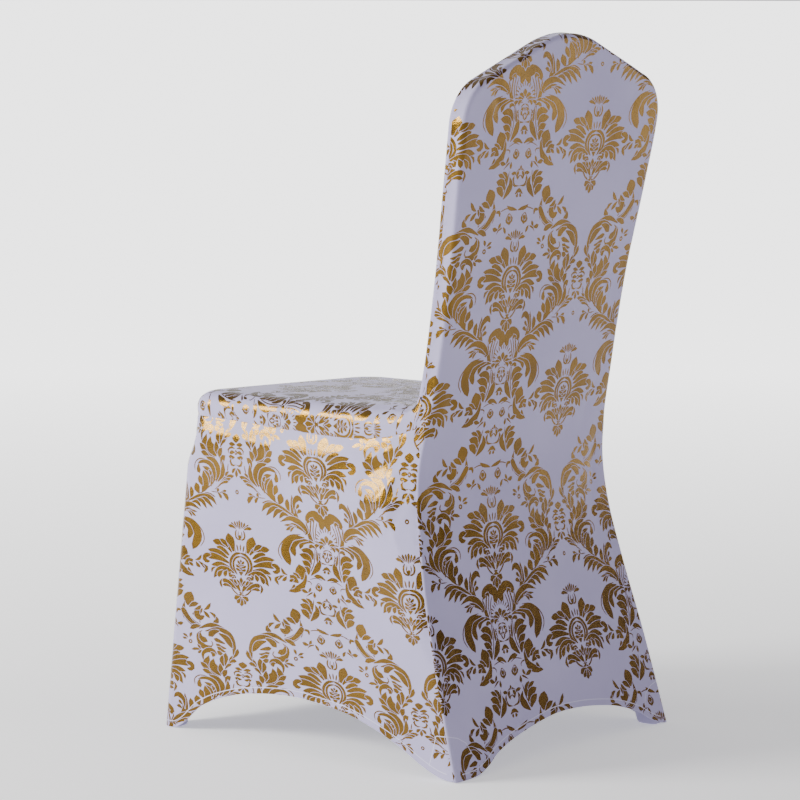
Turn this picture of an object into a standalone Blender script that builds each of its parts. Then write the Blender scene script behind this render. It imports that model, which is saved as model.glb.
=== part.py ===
"""Fitted chair cover of printed stretch cloth: back, seat, skirts and foot pockets."""
import bpy
import bmesh
from math import cos, exp, hypot, pi, radians, sin, sqrt, tan
from mathutils import Vector

NAME = "chair_cover"

# Cloth
CLOTH = 0.0015
GAP = 0.0003
CORNER_GAP = 0.0008
JOIN_GAP = 0.0010

# Whole cover: the floor is z = 0 and the sitter faces -Y
HEIGHT = 0.938
SHIFT_Y = -0.0060

# Back, from the floor up: height, half width, y of its rear face
BACK_ROWS = (
    (0.000, 0.232, 0.266),
    (0.125, 0.224, 0.231),
    (0.220, 0.214, 0.204),
    (0.310, 0.203, 0.184),
    (0.385, 0.198, 0.179),
    (0.500, 0.190, 0.201),
    (0.620, 0.192, 0.222),
    (0.750, 0.204, 0.246),
    (0.828, 0.210, 0.259),
    (0.938, 0.210, 0.270),
)
BACK_DEPTH = 0.028
EDGE_RADIUS = 0.006
EDGE_STRAIGHT = 0.002
SEAM_DEPTH = 0.004
SEAM_RADIUS = 0.003
WRAP_TOP_Z = 0.436
WRAP_LOW_Z = 0.405
BACK_PAD = 0.012
PAD_CURVE = 0.7
PAD_SPAN = 0.75
CROWN_RADIUS = 0.160
CROWN_SLOPE = radians(21.3)
SHOULDER_RADIUS = 0.060
SHOULDER_HALF = 0.210

# Where the stretched rear face stands off the waist: rise, height, reach
BRIDGE = 0.009
BRIDGE_Z = 0.370
BRIDGE_REACH = 0.160

# Shallow hollows in the rear face: x, z, radius, depth
DENTS = (
    (-0.060, 0.800, 0.070, 0.0022),
    (0.085, 0.735, 0.060, 0.0018),
    (0.030, 0.560, 0.080, 0.0020),
    (-0.090, 0.470, 0.060, 0.0018),
)

# Seat
SEAT_FRONT = -0.232
SEAT_HALF = 0.190
SEAT_EDGE_Z = 0.453
SEAT_CROWN = 0.004
SEAT_TILT = 0.006
SEAT_RADIUS = 0.020
SEAT_ROLL_GROWS = 0.18
SEAT_DROP_SHARE = 0.85
SEAT_FLATNESS = 4
PAD_FADE = 10
EDGE_FADE = 12
JOIN_Z = 0.480
JOIN_FILLET = 0.024
CUSHION_CORNER = 0.036
CUSHION_BASE_Z = 0.400
LEG_CORNER = 0.016
LEG_TOP_Z = 0.355

# Seam under the cushion, from front to rear: share of the side, height
SEAM_ROWS = (
    (0.00, 0.4265),
    (0.25, 0.4250),
    (0.50, 0.4200),
    (0.72, 0.4176),
    (0.88, 0.4242),
    (1.00, 0.4380),
)

# Feet and the hang of the skirts
FOOT_HALF = 0.218
FOOT_FRONT_Y = -0.258
HEM_CLEAR = 0.001
SIDE_SAG = 0.009
FRONT_SAG = 0.008
SAG_FULL_Z = 0.260
SAG_END_Z = 0.420

# Narrow face between the rear seam and a ridge on each side skirt: height, width
FACET_ROWS = (
    (0.120, 0.012),
    (0.170, 0.017),
    (0.220, 0.022),
    (0.270, 0.028),
    (0.300, 0.036),
    (0.340, 0.049),
)
FACET_TILT = radians(15)
FACET_REACH = 0.090
FACET_START_Z = 0.120
FACET_FULL_Z = 0.190
FACET_FADE_Z = 0.330
FACET_END_Z = 0.390

# Hem of each side from front to rear: y, height
SIDE_HEM = (
    (-0.246, 0.0010),
    (-0.231, 0.0020),
    (-0.216, 0.0110),
    (-0.189, 0.0355),
    (-0.138, 0.0555),
    (-0.084, 0.0655),
    (-0.020, 0.0695),
    (0.042, 0.0655),
    (0.089, 0.0585),
    (0.137, 0.0450),
    (0.175, 0.0300),
    (0.205, 0.0145),
    (0.232, 0.0040),
    (0.250, 0.0010),
)

# Hem of the rear from right to left: x, height
REAR_HEM = (
    (-0.228, 0.0010),
    (-0.215, 0.0035),
    (-0.197, 0.0110),
    (-0.174, 0.0240),
    (-0.133, 0.0380),
    (-0.097, 0.0450),
    (-0.053, 0.0500),
    (0.000, 0.0510),
    (0.048, 0.0450),
    (0.103, 0.0340),
    (0.139, 0.0225),
    (0.160, 0.0115),
    (0.184, 0.0030),
    (0.205, 0.0010),
)

# Hem of the front from right to left: x, height
FRONT_HEM = (
    (-0.200, 0.0010),
    (-0.184, 0.0050),
    (-0.150, 0.0290),
    (-0.095, 0.0470),
    (0.000, 0.0560),
    (0.098, 0.0460),
    (0.152, 0.0270),
    (0.184, 0.0050),
    (0.200, 0.0010),
)

# Pull folds over the seat from the foot of the back: side, angle, length, width, height
PULLS = (
    (1, 8, 0.150, 0.014, 0.0030),
    (1, 24, 0.125, 0.013, 0.0034),
    (1, 42, 0.095, 0.012, 0.0028),
    (-1, 13, 0.135, 0.014, 0.0028),
    (-1, 33, 0.105, 0.013, 0.0030),
)
PULL_X = 0.176
PULL_Y = 0.170
PULL_NARROW = 0.35
PULL_SKEW = 0.6

# Foot pockets: name, side, end, width, depth, height, squareness
POCKETS = (
    ("pocket_front_left", 1, -1, 0.026, 0.025, 0.040, 2.7),
    ("pocket_front_right", -1, -1, 0.026, 0.025, 0.040, 2.7),
    ("pocket_rear_left", 1, 1, 0.046, 0.040, 0.055, 4.0),
    ("pocket_rear_right", -1, 1, 0.023, 0.030, 0.050, 4.0),
)
POCKET_CLEAR = 0.0014
POCKET_SIDES = 16
POCKET_ROLL = 0.004
POCKET_BEND = 0.3

# Cells of the grids
BACK_COLUMNS = 18
INSIDE_ROWS = 14
JOIN_ROWS = 2
SIDE_COLUMNS = 18
SKIRT_ROWS = 12
ARC_SHARE = 1 / 6
FACET_SHARE = 1 / 6
COLUMN_CROWD = 0.55
ROW_CROWD = 1.2
SKIRT_CROWD = 1.15
SHOULDER_CELLS = 3
SHOULDER_PASSES = 6

# Colours: cloth in the light, cloth in the shade of the back, cloth mostly under foil
WHITE_CLOTH = (0.63, 0.61, 0.74, 1.0)
SHADE_CLOTH = (0.52, 0.50, 0.62, 1.0)
POCKET_CLOTH = (0.66, 0.60, 0.58, 1.0)
ROUGHNESS = 0.62


def lerp(start, end, share):
    return start + (end - start) * share


def blend(low, high, value):
    """Smooth step from 0 at low to 1 at high."""
    share = min(max((value - low) / (high - low), 0.0), 1.0)
    return share * share * (3 - 2 * share)


def read_rows(rows, column, place):
    """Smooth curve through one column of a table whose first column is the place."""
    last = len(rows) - 1
    place = min(max(place, rows[0][0]), rows[last][0])
    row = 0
    while row < last - 1 and place > rows[row + 1][0]:
        row += 1
    step = rows[row + 1][0] - rows[row][0]
    share = (place - rows[row][0]) / step

    def slope(index):
        before = rows[max(index - 1, 0)]
        after = rows[min(index + 1, last)]
        return (after[column] - before[column]) / (after[0] - before[0]) * step

    square = share * share
    cube = square * share
    return (
        (2 * cube - 3 * square + 1) * rows[row][column]
        + (cube - 2 * square + share) * slope(row)
        + (3 * square - 2 * cube) * rows[row + 1][column]
        + (cube - square) * slope(row + 1)
    )


def crown_arcs():
    """Ends of the top arc and the slope, and the centre of the shoulder arc."""
    arc_x = CROWN_RADIUS * sin(CROWN_SLOPE)
    arc_z = HEIGHT - CROWN_RADIUS * (1 - cos(CROWN_SLOPE))
    centre_x = SHOULDER_HALF - SHOULDER_RADIUS
    touch_x = centre_x + SHOULDER_RADIUS * sin(CROWN_SLOPE)
    touch_z = arc_z - (touch_x - arc_x) * tan(CROWN_SLOPE)
    centre_z = touch_z - SHOULDER_RADIUS * cos(CROWN_SLOPE)
    return arc_x, arc_z, touch_x, centre_x, centre_z


ARC_X, ARC_Z, TOUCH_X, SHOULDER_X, SHOULDER_Z = crown_arcs()
CORNER_X = SHOULDER_X + SHOULDER_RADIUS * sqrt(0.5)
CORNER_Z = SHOULDER_Z + SHOULDER_RADIUS * sqrt(0.5)


def crown_z(x):
    """Height of the back's top edge, as far out as the middle of the shoulder."""
    x = abs(x)
    if x < ARC_X:
        return HEIGHT - CROWN_RADIUS + sqrt(CROWN_RADIUS ** 2 - x * x)
    if x < TOUCH_X:
        return ARC_Z - (x - ARC_X) * tan(CROWN_SLOPE)
    return SHOULDER_Z + sqrt(SHOULDER_RADIUS ** 2 - (x - SHOULDER_X) ** 2)


def back_half(z):
    """Half width of the back's outline, round the shoulder and down to the floor."""
    if z > SHOULDER_Z:
        return SHOULDER_X + sqrt(SHOULDER_RADIUS ** 2 - (z - SHOULDER_Z) ** 2)
    return read_rows(BACK_ROWS, 1, z)


def back_y(z):
    return read_rows(BACK_ROWS, 2, z)


def wrap_depth(z):
    """How far the rear piece wraps forward round the edge of the back."""
    full = BACK_DEPTH - EDGE_RADIUS - EDGE_STRAIGHT
    return lerp(SEAM_DEPTH, full, blend(WRAP_LOW_Z, WRAP_TOP_Z, z))


def wrap_radius(z):
    return lerp(SEAM_RADIUS, EDGE_RADIUS, blend(WRAP_LOW_Z, WRAP_TOP_Z, z))


def hem_z(rows, place):
    """Height of an arched hem above the floor."""
    return max(read_rows(rows, 1, place), HEM_CLEAR)


def seat_columns(share):
    """Places across the front from -1 to 1, with three columns in each corner."""
    if share < ARC_SHARE:
        return share - 1
    if share > 1 - ARC_SHARE:
        return share
    return (1 - ARC_SHARE) * crowd((share - ARC_SHARE) / (1 - 2 * ARC_SHARE))


def crowd(share):
    """Places from -1 to 1, closer together near both ends."""
    even = 2 * share - 1
    return lerp(even, sin(pi / 2 * even), COLUMN_CROWD)


def hollow(x, z):
    depth = 0.0
    for dent_x, dent_z, radius, dent in DENTS:
        depth += dent * exp(-(hypot(x - dent_x, z - dent_z) / radius) ** 2)
    return depth


def row_levels():
    """Heights of the rear face's rows at its sides, shared with the pieces they meet."""
    seam = seam_z(0.0)
    levels = []
    for row in range(INSIDE_ROWS):
        levels.append(lerp(CORNER_Z, JOIN_Z, (row / INSIDE_ROWS) ** ROW_CROWD))
    for row in range(JOIN_ROWS):
        levels.append(lerp(JOIN_Z, seam, row / JOIN_ROWS))
    for row in range(SKIRT_ROWS + 1):
        levels.append(lerp(seam, HEM_CLEAR, (row / SKIRT_ROWS) ** SKIRT_CROWD))
    return levels


def rear_point(u, level):
    """Rear face: u across from -1 to 1, level the height of the row at its sides."""
    x = u * back_half(level)
    down = (CORNER_Z - level) / (CORNER_Z - HEM_CLEAR)
    z = lerp(crown_z(u * CORNER_X), hem_z(REAR_HEM, u * back_half(HEM_CLEAR)), down)
    inner = 1 - u * u
    bridge = BRIDGE * inner * exp(-((z - BRIDGE_Z) / BRIDGE_REACH) ** 2)
    return Vector((x, back_y(z) + bridge - hollow(x, z) * inner, z))


def padding(u, v):
    """How far the padded front of the back stands forward of its edge."""
    return BACK_PAD * (1 - u ** 4) * sin(pi * PAD_SPAN * v) ** PAD_CURVE


def inside_point(u, level):
    """Padded front of the back: u across from -1 to 1, level as on the rear face."""
    v = (CORNER_Z - level) / (CORNER_Z - JOIN_Z)
    x = u * back_half(level)
    z = lerp(crown_z(u * CORNER_X), JOIN_Z, v)
    return Vector((x, back_y(z) - BACK_DEPTH - padding(u, v), z))


def front_corner(z):
    """Radius of the front corners: a soft cushion above, a thin leg below."""
    return lerp(LEG_CORNER, CUSHION_CORNER, blend(LEG_TOP_Z, CUSHION_BASE_Z, z))


def front_half(z):
    return lerp(FOOT_HALF, SEAT_HALF, min(z / SEAM_ROWS[0][1], 1.0))


def front_y(z):
    return lerp(FOOT_FRONT_Y, SEAT_FRONT, min(z / SEAM_ROWS[0][1], 1.0))


def sag(z):
    """Share of the skirts' inward sag at a height."""
    return 1 - blend(SAG_FULL_Z, SAG_END_Z, z)


def facet(away, z):
    """Ridge on the side skirt at a distance in front of the rear seam."""
    width = read_rows(FACET_ROWS, 1, z)
    shown = blend(FACET_START_Z, FACET_FULL_Z, z) * (1 - blend(FACET_FADE_Z, FACET_END_Z, z))
    ridge = width * tan(FACET_TILT) * shown
    if away < width:
        return ridge * away / width
    return ridge * exp(-((away - width) / FACET_REACH) ** 2)


def side_ends(z):
    """Where the side starts in front of the wrap, and where its front corner begins."""
    return back_y(z) - wrap_depth(z) - GAP, front_y(z) + front_corner(z)


def side_x(y, z):
    """Half width of the cover at a place along its side."""
    start_y, end_y = side_ends(z)
    run = min(max((start_y - y) / (start_y - end_y), 0.0), 1.0)
    straight = lerp(back_half(z), front_half(z), run)
    return straight - SIDE_SAG * sag(z) * sin(pi * run) + facet(max(start_y - y, 0.0), z)


def side_point(share, z):
    """Plan of the left side at a height: share 0 at the rear, 1 in the front corner."""
    start_y, end_y = side_ends(z)
    if share > 1 - ARC_SHARE:
        corner = front_corner(z)
        turn = (share - 1 + ARC_SHARE) / ARC_SHARE * pi / 4
        return side_x(end_y, z) - corner * (1 - cos(turn)), end_y - corner * sin(turn)
    ridge_y = start_y - read_rows(FACET_ROWS, 1, z)
    if share < FACET_SHARE:
        y = lerp(start_y, ridge_y, share / FACET_SHARE)
    else:
        run = (share - FACET_SHARE) / (1 - ARC_SHARE - FACET_SHARE)
        y = lerp(ridge_y, end_y, lerp(run, 0.5 - 0.5 * cos(pi * run), 0.5))
    return side_x(y, z), y


def front_point(share, z):
    """Plan of the front at a height: share from -1 to 1 between the two corners."""
    corner = front_corner(z)
    flat = front_half(z) - corner
    run = min(abs(share) / (1 - ARC_SHARE), 1.0)
    turn = max(abs(share) - 1 + ARC_SHARE, 0.0) / ARC_SHARE * pi / 4
    x = flat * run + corner * sin(turn)
    y = front_y(z) + FRONT_SAG * sag(z) * (1 - run * run) + corner * (1 - cos(turn))
    return (x if share > 0 else -x), y


def seam_z(share):
    """Height of the seam under the cushion: share 0 at the rear, 1 in the front corner."""
    return read_rows(SEAM_ROWS, 1, 1 - share)


def pull_folds(x, y):
    """Ridges that run out over the seat from the foot of the back."""
    rise = 0.0
    for side, angle, length, width, height in PULLS:
        back_x = PULL_X - x * side
        back_run = PULL_Y - y
        turn = radians(angle)
        along = (back_x * sin(turn) + back_run * cos(turn)) / length
        across = back_x * cos(turn) - back_run * sin(turn)
        if 0 < along < 1:
            narrow = width * lerp(PULL_NARROW, 1.0, along)
            rise += height * sin(pi * along ** PULL_SKEW) * exp(-(across / narrow) ** 2)
    return rise


def seat_outline(u, v):
    """Plan of the seat on its outer edge, and the same place drawn in by the rolled edge."""
    edge, side = side_point(v, seam_z(v))
    across, ahead = front_point(u, seam_z(1.0))
    corner_x, corner_y = front_point(1.0, seam_z(1.0))
    roll = lerp(EDGE_RADIUS, SEAT_RADIUS, blend(0.0, SEAT_ROLL_GROWS, v))
    x = across / corner_x * edge
    y = side + v * (ahead - corner_y)
    return x, y, x * (1 - roll / edge), y + roll * v ** SEAT_FLATNESS


def seat_point(u, v):
    """Top of the seat: u across from -1 to 1, v from the foot of the back to the front."""
    x, y = seat_outline(u, v)[2:]
    level = SEAT_EDGE_Z + SEAT_TILT * x / SEAT_HALF
    crown = SEAT_CROWN * (1 - u ** SEAT_FLATNESS) * (1 - v ** SEAT_FLATNESS)
    z = level + crown + pull_folds(x, y)
    climb = max(1 - (side_point(0.0, seam_z(0.0))[1] - y) / JOIN_FILLET, 0.0)
    z = lerp(z, JOIN_Z - JOIN_GAP, 1 - sqrt(1 - climb ** 2))
    return Vector((x, y - padding(x / SEAT_HALF, 1.0) * (1 - v) ** PAD_FADE, z))


def grid(columns, rows, place):
    """Grid bent to a shape by place, with its points listed by column and row."""
    mesh = bmesh.new()
    bmesh.ops.create_grid(mesh, x_segments=columns, y_segments=rows, size=0.5)
    points = {}
    for vertex in mesh.verts:
        column = round((vertex.co.x + 0.5) * columns)
        row = round((vertex.co.y + 0.5) * rows)
        points[column, row] = vertex
        vertex.co = place(column / columns, row / rows)
    return mesh, points


def split_corners(points, columns):
    """Split the cells at the two shoulders so that neither half is a sliver."""
    for edge, inner in ((0, 1), (columns, columns - 1)):
        start, end = points[edge, 0], points[inner, 1]
        shared = set(start.link_faces) & set(end.link_faces)
        bmesh.utils.face_split(shared.pop(), start, end)


def relax_shoulders(mesh, points, columns):
    """Even out the cells at the two shoulders, where the grid's corners lie on an arc."""
    inner = []
    for column in range(1, SHOULDER_CELLS + 1):
        for row in range(1, SHOULDER_CELLS + 1):
            inner += [points[column, row], points[columns - column, row]]
    axes = {"use_axis_x": True, "use_axis_y": True, "use_axis_z": True}
    for _ in range(SHOULDER_PASSES):
        bmesh.ops.smooth_vert(mesh, verts=inner, factor=0.5, **axes)


def three_sides(points, columns, rows):
    """Border from the end of the first column, round row 0, to the end of the last."""
    first = [points[0, row] for row in range(rows, 0, -1)]
    across = [points[column, 0] for column in range(columns + 1)]
    last = [points[columns, row] for row in range(1, rows + 1)]
    return first + across + last


def outward(chain):
    """Normals of a chain of points in the plane of the back."""
    normals = []
    for index in range(len(chain)):
        along = chain[min(index + 1, len(chain) - 1)] - chain[max(index - 1, 0)]
        normals.append(Vector((-along.z, 0, along.x)).normalized())
    return normals


def extrude(mesh, chain, places):
    """Extrude a chain of border points to new places."""
    edges = [mesh.edges.get(pair) for pair in zip(chain, chain[1:])]
    made = set(bmesh.ops.extrude_edge_only(mesh, edges=edges)["geom"])
    fresh = []
    for vertex, place in zip(chain, places):
        ends = [edge.other_vert(vertex) for edge in vertex.link_edges]
        end = next(item for item in ends if item in made)
        end.co = place
        fresh.append(end)
    return fresh


def material(name, colour):
    finish = bpy.data.materials.new(name)
    finish.use_nodes = True
    shader = finish.node_tree.nodes["Principled BSDF"]
    shader.inputs["Base Color"].default_value = colour
    shader.inputs["Roughness"].default_value = ROUGHNESS
    shader.inputs["Metallic"].default_value = 0.0
    return finish


def cloth(name, mesh, outside, colour, collection):
    """Turn an open surface into a closed sheet whose outer face looks outside."""
    bmesh.ops.recalc_face_normals(mesh, faces=mesh.faces)
    total = Vector((0, 0, 0))
    for face in mesh.faces:
        total += face.normal * face.calc_area()
    if total.dot(outside) < 0:
        bmesh.ops.reverse_faces(mesh, faces=mesh.faces)
    bmesh.ops.translate(mesh, verts=mesh.verts, vec=(0, SHIFT_Y, 0))
    data = bpy.data.meshes.new(name)
    mesh.to_mesh(data)
    mesh.free()
    data.shade_smooth()
    data.materials.append(material(name, colour))
    item = bpy.data.objects.new(name, data)
    collection.objects.link(item)
    shell = item.modifiers.new("thickness", "SOLIDIFY")
    shell.thickness = CLOTH
    shell.offset = -1
    shell.use_even_offset = True
    return item


def outside_back(collection):
    """Rear face with its arched hem, wrapped forward round the edge of the back."""
    levels = row_levels()
    rows = len(levels) - 1

    def place(a, b):
        return rear_point(crowd(a), levels[round(b * rows)])

    mesh, points = grid(BACK_COLUMNS, rows, place)
    split_corners(points, BACK_COLUMNS)
    chain = three_sides(points, BACK_COLUMNS, rows)
    outline = [vertex.co.copy() for vertex in chain]
    normals = outward(outline)
    bends = [wrap_radius(point.z) for point in outline]
    reaches = [wrap_depth(point.z) for point in outline]
    for vertex, normal, bend in zip(chain, normals, bends):
        vertex.co -= normal * bend
    relax_shoulders(mesh, points, BACK_COLUMNS)
    for turn in (pi / 4, pi / 2):
        places = []
        for point, normal, bend in zip(outline, normals, bends):
            ahead = Vector((0, bend * (1 - cos(turn)), 0))
            places.append(point - normal * bend * (1 - sin(turn)) - ahead)
        chain = extrude(mesh, chain, places)
    for share in (0.5, 1.0):
        places = []
        for point, bend, reach in zip(outline, bends, reaches):
            places.append(point - Vector((0, lerp(bend, reach, share), 0)))
        chain = extrude(mesh, chain, places)
    return cloth("outside_back", mesh, Vector((0, 1, 0)), SHADE_CLOTH, collection)


def inside_back(collection):
    """Front of the back, rolled rearward round its edge to meet the wrap."""
    levels = row_levels()

    def place(a, b):
        return inside_point(crowd(a), levels[round(b * INSIDE_ROWS)])

    mesh, points = grid(BACK_COLUMNS, INSIDE_ROWS, place)
    split_corners(points, BACK_COLUMNS)
    chain = three_sides(points, BACK_COLUMNS, INSIDE_ROWS)
    outline = [vertex.co.copy() for vertex in chain]
    normals = outward(outline)
    for vertex, normal in zip(chain, normals):
        vertex.co -= normal * EDGE_RADIUS
    relax_shoulders(mesh, points, BACK_COLUMNS)
    for turn in (pi / 4, pi / 2):
        places = []
        for point, normal in zip(outline, normals):
            behind = Vector((0, EDGE_RADIUS * (1 - cos(turn)), 0))
            places.append(point - normal * EDGE_RADIUS * (1 - sin(turn)) + behind)
        chain = extrude(mesh, chain, places)
    behind = Vector((0, EDGE_RADIUS + EDGE_STRAIGHT - GAP, 0))
    extrude(mesh, chain, [point + behind for point in outline])
    return cloth("inside_back", mesh, Vector((0, -1, 0)), WHITE_CLOTH, collection)


def seat_top(collection):
    """Seat panel, from the foot of the back over the cushion and down to its seam."""
    rows = SIDE_COLUMNS

    def place(a, b):
        return seat_point(seat_columns(a), 1 - b)

    mesh, points = grid(BACK_COLUMNS, rows, place)
    border = three_sides(points, BACK_COLUMNS, rows)
    inner = [vertex.co.copy() for vertex in border]
    rear_to_front = [(-1.0, row / rows) for row in range(rows)]
    across = [(seat_columns(column / BACK_COLUMNS), 1.0) for column in range(BACK_COLUMNS + 1)]
    front_to_rear = [(1.0, row / rows) for row in reversed(range(rows))]
    places = rear_to_front + across + front_to_rear

    def edge_point(start, u, v, out, z):
        """Point of the edge, which follows the side of the back where it meets it."""
        x, y = seat_outline(u, v)[:2]
        level = seam_z(v)
        near = (1 - v) ** EDGE_FADE
        x += u * near * (back_half(z) - back_half(level))
        y += near * (back_y(z) - back_y(level) - JOIN_GAP * blend(level, JOIN_Z, z))
        return Vector((lerp(start.x, x, out), lerp(start.y, y, out), z))

    chain = border
    for turn in (pi / 6, pi / 3, pi / 2):
        ring = []
        for start, (u, v) in zip(inner, places):
            drop = min(SEAT_RADIUS, SEAT_DROP_SHARE * (start.z - seam_z(v)))
            ring.append(edge_point(start, u, v, sin(turn), start.z - drop * (1 - cos(turn))))
        chain = extrude(mesh, chain, ring)
    ring = []
    for start, (u, v) in zip(inner, places):
        ring.append(edge_point(start, u, v, 1.0, seam_z(v) + GAP / 2))
    extrude(mesh, chain, ring)
    return cloth("seat_top", mesh, Vector((0, 0, 1)), WHITE_CLOTH, collection)


def corner_trim(z):
    """Share of a side that is left open at a front corner's seam."""
    return ARC_SHARE * CORNER_GAP / 2 / (front_corner(z) * pi / 4)


def side_skirt(name, sign, collection):
    """Side skirt, from the cushion's seam down to its arched hem."""

    def place(a, b):
        hem = hem_z(SIDE_HEM, side_point(a, HEM_CLEAR)[1])
        z = lerp(seam_z(a) - GAP / 2, hem, b ** SKIRT_CROWD)
        x, y = side_point(a * (1 - corner_trim(z)), z)
        return Vector((sign * x, y, z))

    mesh, points = grid(SIDE_COLUMNS, SKIRT_ROWS, place)
    return cloth(name, mesh, Vector((sign, 0, 0)), WHITE_CLOTH, collection)


def front_skirt(collection):
    """Front skirt, between the seams in the middle of the two front corners."""

    def place(a, b):
        share = seat_columns(a)
        hem = hem_z(FRONT_HEM, front_point(share, HEM_CLEAR)[0])
        z = lerp(seam_z(1.0) - GAP / 2, hem, b ** SKIRT_CROWD)
        x, y = front_point(share * (1 - corner_trim(z)), z)
        return Vector((x, y, z))

    mesh, points = grid(BACK_COLUMNS, SKIRT_ROWS, place)
    return cloth("skirt_front", mesh, Vector((0, -1, 0)), WHITE_CLOTH, collection)


def foot_pocket(name, side, end, width, depth, height, squareness, collection):
    """Cup of cloth inside a corner of the hem, which a foot of the chair stands in."""
    off = CLOTH + POCKET_CLEAR

    def place(turn, inset, z):
        a = abs(cos(turn)) ** (2 / squareness) * (1 if cos(turn) > 0 else -1)
        b = abs(sin(turn)) ** (2 / squareness) * (1 if sin(turn) > 0 else -1)
        a = a * (1 - 2 * inset / width)
        b = b * (1 - 2 * inset / depth)
        outer_y = back_y(z) - off if end > 0 else front_y(z) + off
        y = outer_y - end * depth * (1 - b * end) / 2
        x = side_x(y, z) - off - width * (1 - a) / 2
        return Vector((side * x, y, z))

    mesh = bmesh.new()
    turns = [2 * pi * step / POCKET_SIDES for step in range(POCKET_SIDES)] + [0.0]
    base = bmesh.ops.create_circle(mesh, cap_ends=True, segments=POCKET_SIDES, radius=1.0)
    ring = base["verts"] + base["verts"][:1]
    for vertex, turn in zip(ring, turns):
        vertex.co = place(turn, POCKET_ROLL, 0.0)
    levels = (
        (POCKET_BEND * POCKET_ROLL, POCKET_BEND * POCKET_ROLL),
        (0.0, POCKET_ROLL),
        (0.0, height / 2),
        (0.0, height),
    )
    for inset, z in levels:
        ring = extrude(mesh, ring, [place(turn, inset, z) for turn in turns])
    return cloth(name, mesh, Vector((0, 0, -1)), POCKET_CLOTH, collection)


def build():
    for item in list(bpy.data.objects):
        bpy.data.objects.remove(item, do_unlink=True)
    collection = bpy.data.collections.new(NAME)
    bpy.context.scene.collection.children.link(collection)
    outside_back(collection)
    inside_back(collection)
    seat_top(collection)
    side_skirt("skirt_left", 1, collection)
    side_skirt("skirt_right", -1, collection)
    front_skirt(collection)
    for row in POCKETS:
        foot_pocket(*row, collection)


build()
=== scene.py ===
"""Looks of a fitted chair cover in foil-printed stretch cloth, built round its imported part."""
import bpy
import numpy as np
from math import cos, pi, radians, sin, sqrt, tan
from mathutils import Matrix, Vector
from mathutils.bvhtree import BVHTree
from mathutils.geometry import delaunay_2d_cdt
from mathutils.kdtree import KDTree

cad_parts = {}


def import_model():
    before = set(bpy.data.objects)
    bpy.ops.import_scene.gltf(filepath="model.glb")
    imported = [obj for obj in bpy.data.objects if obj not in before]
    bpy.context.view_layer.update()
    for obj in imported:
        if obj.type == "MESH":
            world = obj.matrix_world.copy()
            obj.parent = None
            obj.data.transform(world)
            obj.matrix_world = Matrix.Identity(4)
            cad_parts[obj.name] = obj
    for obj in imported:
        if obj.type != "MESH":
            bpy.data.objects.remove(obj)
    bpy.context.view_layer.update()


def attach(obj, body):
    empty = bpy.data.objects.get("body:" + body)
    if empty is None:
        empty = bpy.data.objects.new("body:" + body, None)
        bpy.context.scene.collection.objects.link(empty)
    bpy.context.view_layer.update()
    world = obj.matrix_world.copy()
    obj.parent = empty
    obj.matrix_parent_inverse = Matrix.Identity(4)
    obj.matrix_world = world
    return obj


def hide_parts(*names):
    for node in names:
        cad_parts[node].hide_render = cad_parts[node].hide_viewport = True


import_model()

# Sizes shared with the part, in metres
CLOTH = 0.0015
GAP = 0.00004
CORNER_GAP = 0.0001
JOIN_GAP = 0.0002
HEIGHT = 0.938
SHIFT_Y = -0.0060
BACK_ROWS = (
    (0.000, 0.232, 0.266), (0.125, 0.224, 0.231), (0.220, 0.214, 0.204), (0.310, 0.203, 0.184), (0.385, 0.198, 0.179),
    (0.500, 0.190, 0.201), (0.620, 0.192, 0.222), (0.750, 0.204, 0.246), (0.828, 0.210, 0.259), (0.938, 0.210, 0.270),
)
BACK_DEPTH = 0.028
EDGE_RADIUS = 0.006
EDGE_STRAIGHT = 0.002
SEAM_DEPTH = 0.004
SEAM_RADIUS = 0.003
WRAP_TOP_Z = 0.436
WRAP_LOW_Z = 0.405
BACK_PAD = 0.012
PAD_CURVE = 0.7
PAD_SPAN = 0.75
CROWN_RADIUS = 0.160
CROWN_SLOPE = radians(21.3)
SHOULDER_RADIUS = 0.060
SHOULDER_HALF = 0.210
BRIDGE = 0.009
BRIDGE_Z = 0.370
BRIDGE_REACH = 0.160
DENTS = (
    (-0.060, 0.800, 0.070, 0.0022), (0.085, 0.735, 0.060, 0.0018), (0.030, 0.560, 0.080, 0.0020),
    (-0.090, 0.470, 0.060, 0.0018),
)
SEAT_FRONT = -0.232
SEAT_HALF = 0.190
SEAT_EDGE_Z = 0.453
SEAT_CROWN = 0.004
SEAT_TILT = 0.006
SEAT_RADIUS = 0.020
SEAT_ROLL_GROWS = 0.18
SEAT_DROP_SHARE = 0.85
SEAT_FLATNESS = 4
PAD_FADE = 10
EDGE_FADE = 12
JOIN_Z = 0.480
JOIN_FILLET = 0.024
CUSHION_CORNER = 0.036
CUSHION_BASE_Z = 0.400
LEG_CORNER = 0.016
LEG_TOP_Z = 0.355
SEAM_ROWS = ((0.00, 0.4265), (0.25, 0.4250), (0.50, 0.4200), (0.72, 0.4176), (0.88, 0.4242), (1.00, 0.4380))
FOOT_HALF = 0.218
FOOT_FRONT_Y = -0.258
HEM_CLEAR = 0.001
SIDE_SAG = 0.009
FRONT_SAG = 0.008
SAG_FULL_Z = 0.260
SAG_END_Z = 0.420
FACET_ROWS = ((0.120, 0.012), (0.170, 0.017), (0.220, 0.022), (0.270, 0.028), (0.300, 0.036), (0.340, 0.049))
FACET_TILT = radians(15)
FACET_REACH = 0.090
FACET_START_Z = 0.120
FACET_FULL_Z = 0.190
FACET_FADE_Z = 0.330
FACET_END_Z = 0.390
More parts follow.
